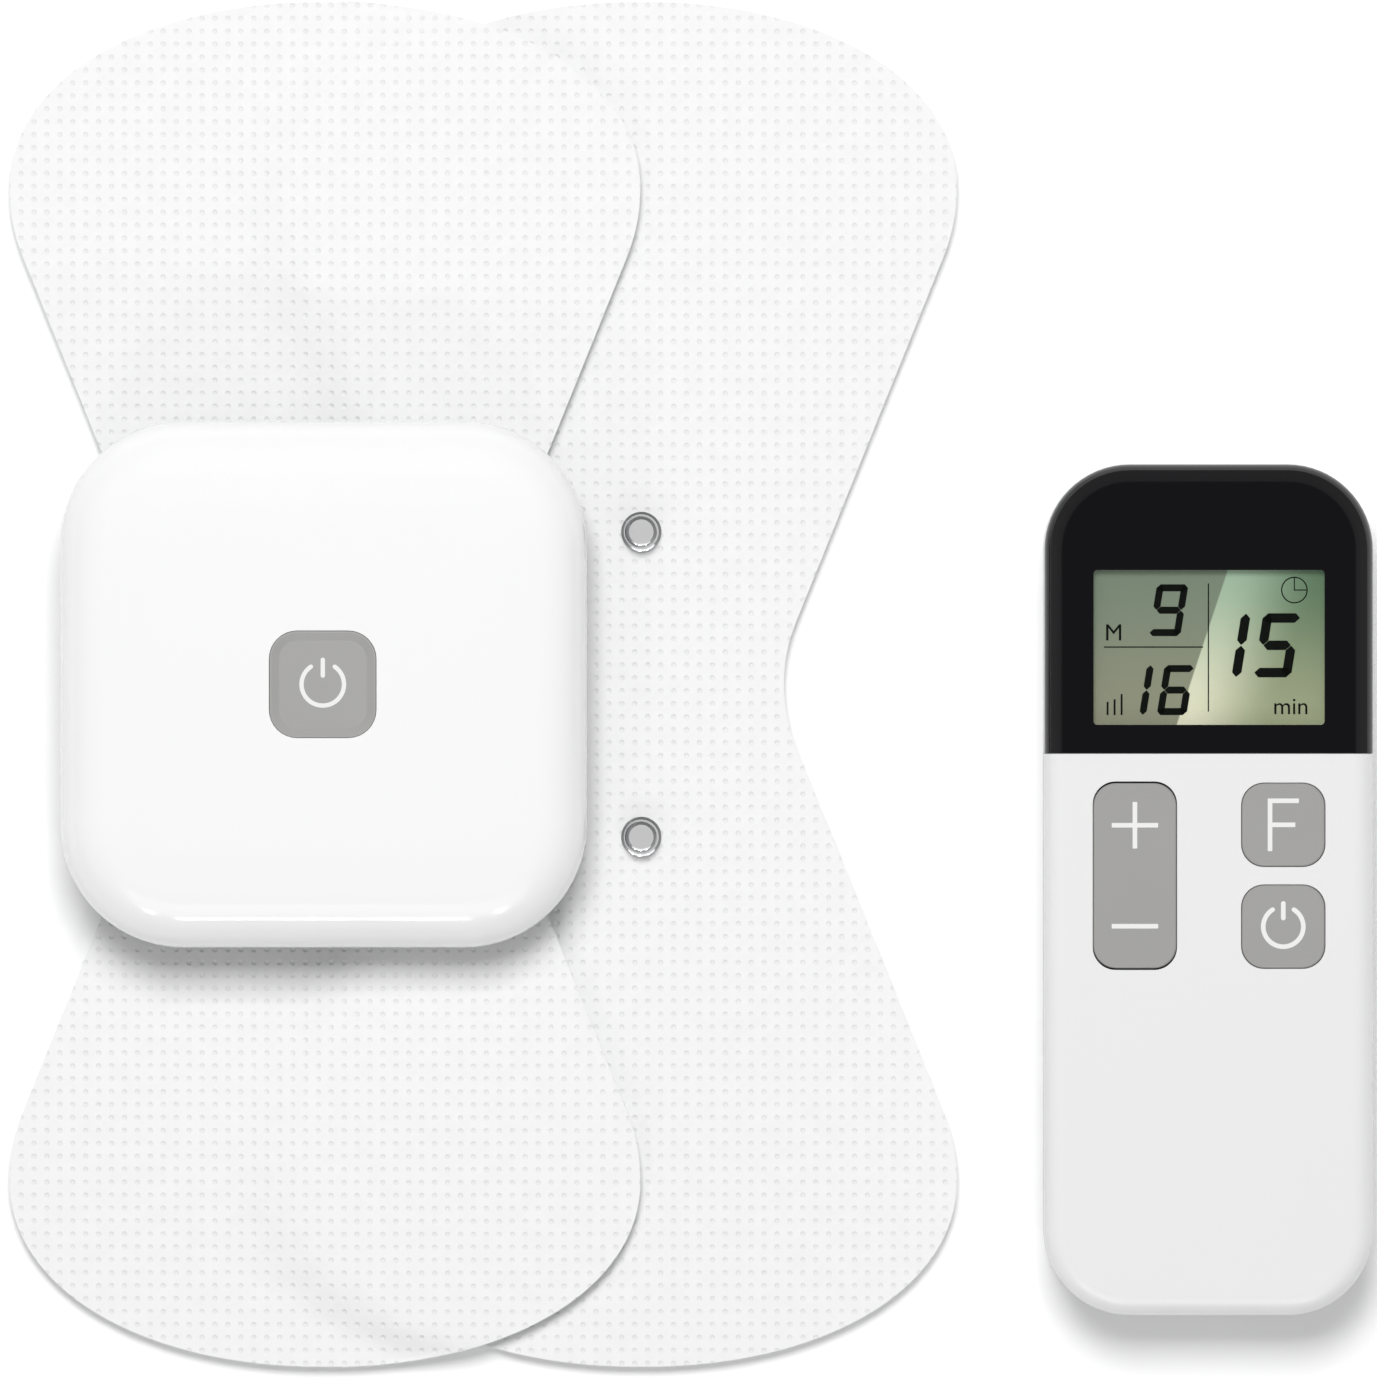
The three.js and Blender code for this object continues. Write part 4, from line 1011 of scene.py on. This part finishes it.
def display_finish():
    material = surface("display glass", (0.2, 0.22, 0.17), 0.08, 0.16, depth=0.0, wear=0.0)
    tree = material.node_tree
    shift = tree.nodes.new("ShaderNodeMapping")
    set_inputs(shift, {
        "Scale": (1 / mm, 1 / mm, 1 / mm), "Location": (-window_left / mm, -window_top / mm, 0)})
    tree.links.new(object_place(material), shift.inputs["Vector"])
    along = axes_of(tree, shift.outputs["Vector"])
    right, up = along["X"], along["Y"]
    # Right of a slanting line the glass is painted lighter: a painted reflection, brightest next to the line
    # and towards the bottom.
    line_lean, line_start = 0.33, 15.3
    leaning = math_node(tree, "MULTIPLY", up, line_lean)
    side = math_node(tree, "SUBTRACT", math_node(tree, "SUBTRACT", right, leaning), line_start)
    painted_reflection_mask = ramp_value(tree, side, -0.1, 0.1)
    across = ramp_value(tree, side, 0.0, 11.0)
    # The glass is painted lighter towards the bottom.
    height = ramp_value(tree, up, -window_tall / mm, 0.0)
    dark = mix_colour(tree, height, (0.28, 0.29, 0.205), (0.200, 0.250, 0.185))
    near = mix_colour(tree, height, (0.78, 0.78, 0.58), (0.36, 0.50, 0.36))
    far = mix_colour(tree, height, (0.34, 0.38, 0.235), (0.125, 0.21, 0.125))
    light = mix_colour(tree, across, near, far)
    colours = mix_colour(tree, painted_reflection_mask, dark, light)
    shader = shader_of(material)
    tree.links.new(colours, shader.inputs["Base Color"])
    # The glass also glows faintly in its own colours: painted light, since this display has no backlight.
    tree.links.new(colours, shader.inputs["Emission Color"])
    set_inputs(shader, {"Emission Strength": 0.3})
    return material


display = rounded_block(
    "remote_display", screen_low, screen_high, 0.5 * mm, top=0.2 * mm, steps=3, rim_steps=2)
soften(display)
dress(display, display_finish(), "remote", "screen_glass", "remote_screen")

# %% Segment bars
segment_ink = surface("display segments", (0.002, 0.003, 0.002), 0.5, 0.6, depth=0.0, wear=0.0)
set_inputs(shader_of(segment_ink), {"Specular IOR Level": 0.1})
segment_height = 0.03 * mm
glass_top = screen_high.z


def glass_block(left, top, right, bottom, corner=0.0):
    """A bar on the glass, given in millimetres right and down from the window's top left corner."""
    low = (window_left + left * mm, window_top - bottom * mm, glass_top)
    high = (window_left + right * mm, window_top - top * mm, glass_top + segment_height)
    return rounded_block("bar", low, high, corner * mm, steps=1)


def digit(left, top, width, height, bars, stroke, lean=0.16):
    """Bars are named a to g as on any seven-segment digit: a on top, then clockwise, g in the middle."""
    gap = stroke * 0.08
    right, bottom, middle = left + width, top + height, top + height / 2
    half = stroke / 2
    point = stroke * 0.45
    spans = {
        "a": (left + gap, top, right - gap, top + stroke),
        "b": (right - stroke, top + gap, right, middle - gap),
        "c": (right - stroke, middle + gap, right, bottom - gap),
        "d": (left + gap, bottom - stroke, right - gap, bottom),
        "e": (left, middle + gap, left + stroke, bottom - gap),
        "f": (left, top + gap, left + stroke, middle - gap),
        "g": (left + half + gap, middle - half, right - half - gap, middle + half),
    }
    made = [glass_block(*spans[bar], corner=point) for bar in bars]
    base = window_top - bottom * mm
    for bar in made:
        for vertex in bar.data.vertices:
            vertex.co.x += lean * (vertex.co.y - base)
    return made


# %% Everything that the display shows
marks = []
marks += digit(6.3, 1.6, 3.6, 5.9, "abcdfg", 0.80)
marks += digit(5.2, 10.8, 0.80, 5.7, "bc", 0.80)
marks += digit(7.2, 10.8, 3.4, 5.7, "acdefg", 0.80)
marks += digit(15.7, 4.9, 1.08, 7.3, "bc", 1.08)
marks += digit(18.2, 4.9, 4.3, 7.3, "acdfg", 1.08)
marks.append(glass_block(1.2, 8.68, 12.5, 8.82))
marks.append(glass_block(13.03, 1.5, 13.17, 16.1))
for left, top in ((1.5, 15.0), (2.3, 14.7), (3.1, 14.1)):
    marks.append(glass_block(left, top, left + 0.22, 16.5))
marks_piece = join_all("remote_display_digits", marks)
dress(marks_piece, segment_ink, "remote", "screen_glass")


# %% Letters and the small clock
def letters(text, left, bottom, size):
    """Plain sans letters of a given height, made a mesh before they are placed."""
    bpy.ops.object.text_add(location=(0, 0, 0))
    words = bpy.context.object
    words.data.body = text
    words.data.size = size * mm
    words.data.extrude = segment_height / 2
    only(words)
    bpy.ops.object.convert(target="MESH")
    words.location = (window_left + left * mm, window_top - bottom * mm, glass_top + segment_height / 2)
    settle("letters")
    bpy.ops.object.mode_set(mode="EDIT")
    bpy.ops.mesh.select_all(action="SELECT")
    bpy.ops.mesh.remove_doubles(threshold=0.001 * mm)
    face_outward()
    return words


clock_place = Vector((window_left + 22.9 * mm, window_top - 2.25 * mm, glass_top + segment_height / 2))
bpy.ops.mesh.primitive_torus_add(
    location=clock_place, major_segments=64, minor_segments=6, major_radius=1.45 * mm, minor_radius=0.07 * mm)
bpy.context.object.scale.z = 0.2
clock = settle("clock")
hands = [glass_block(22.84, 0.85, 22.96, 2.31), glass_block(22.84, 2.19, 24.35, 2.31)]
small = [clock, *hands, letters("M", 1.25, 8.0, 2.7), letters("min", 20.45, 16.4, 2.75)]
small_piece = join_all("remote_display_letters", small)
dress(small_piece, segment_ink, "remote", "screen_glass")

# %% [markdown]
# ## Floor, light and camera
# A plain near-white floor takes the contact shadows. Small cards low in front give the glossy lid its
# highlights in the near corners. A wide sheet and two glints are only seen in reflections: they draw the
# bright crescents on the studs. A dim white surround fills the rest.
# %% Floor
bpy.ops.mesh.primitive_plane_add(size=4, location=(0, 0, -0.02 * mm))
ground = bpy.context.object
ground.name = "floor"
floor_paint = new_finish("studio floor")
set_inputs(shader_of(floor_paint), {
    "Base Color": (0.93, 0.93, 0.93, 1), "Roughness": 0.8, "Specular IOR Level": 0.1,
    "Emission Color": (1, 1, 1, 1), "Emission Strength": 0.12})
paint(ground, floor_paint)


# %% Lights
def card(name, place, aim, size, power):
    light = bpy.data.lights.new(name, "AREA")
    light.shape = "RECTANGLE"
    light.size, light.size_y = size
    light.energy = power
    lamp = bpy.data.objects.new(name, light)
    lamp.location = place
    lamp.rotation_euler = (Vector(aim) - Vector(place)).to_track_quat("-Z", "Y").to_euler()
    bpy.context.scene.collection.objects.link(lamp)
    return lamp


key_card = card("key light", (-0.05, 0.44, 1.10), (0, 0, 0), (0.46, 0.46), 10.3)
key_card.visible_glossy = False
card("near left card", (-0.24, -0.46, 0.34), (-0.05, 0, 0), (0.045, 0.045), 0.14)
card("near right card", (0.16, -0.46, 0.34), (-0.03, 0, 0), (0.045, 0.045), 0.14)
glints = [
    card("near sheet", (0, -0.85, 0.95), (0, 0, 0), (1.5, 0.5), 3.0),
    card("left glint", (-0.075, -0.52, 0.34), (-0.05, 0, 0), (0.04, 0.04), 0.10),
    card("right glint", (-0.028, -0.52, 0.34), (-0.03, 0, 0), (0.04, 0.04), 0.10),
]
for glint in glints:
    glint.visible_diffuse = False


def ramp_stops(tree, value, stops):
    """A row of (place, strength) stops, smooth between. The first two are the ramp's own two ends."""
    node = tree.nodes.new("ShaderNodeValToRGB")
    node.color_ramp.interpolation = "EASE"
    for number, (place, strength) in enumerate(stops):
        stop = node.color_ramp.elements[number] if number < 2 else node.color_ramp.elements.new(place)
        stop.position = place
        stop.color = (strength, strength, strength, 1)
    tree.links.new(value, node.inputs["Fac"])
    return node.outputs["Color"]


surround = bpy.data.worlds.new("soft surround")
surround.use_nodes = True
sky = surround.node_tree
direction = sky.nodes.new("ShaderNodeTexCoord").outputs["Generated"]
parts = axes_of(sky, direction)
strengths = [(0.0, 0.9), (1.0, 0.12), (0.55, 0.95), (0.90, 0.75), (0.97, 0.15)]
by_height = ramp_stops(sky, parts["Z"], strengths)
near_side = math_node(sky, "MULTIPLY_ADD", parts["Y"], -0.35, 1.0)
strength = math_node(sky, "MULTIPLY", by_height, near_side)
scaled = math_node(sky, "MULTIPLY", strength, 0.42)
backdrop = sky.nodes["Background"]
sky.links.new(scaled, backdrop.inputs["Strength"])
set_inputs(backdrop, {"Color": (1, 1, 1, 1)})
bpy.context.scene.world = surround
bpy.context.scene.view_settings.view_transform = "Standard"

view_wide = 157.7 * mm
distance = 2.4
lens_data = bpy.data.cameras.new("over the kit")
sensor = 36
lens_data.sensor_width = sensor
image_wide, image_high = 1377, 1388
view_long = view_wide * image_high / image_wide
lens_data.lens = sensor * distance / view_long
eye = bpy.data.objects.new("over the kit", lens_data)
eye.location = (-0.175 * mm, -1.1 * mm, distance)
bpy.context.scene.collection.objects.link(eye)
bpy.context.scene.camera = eye
print("lens", round(lens_data.lens, 1))
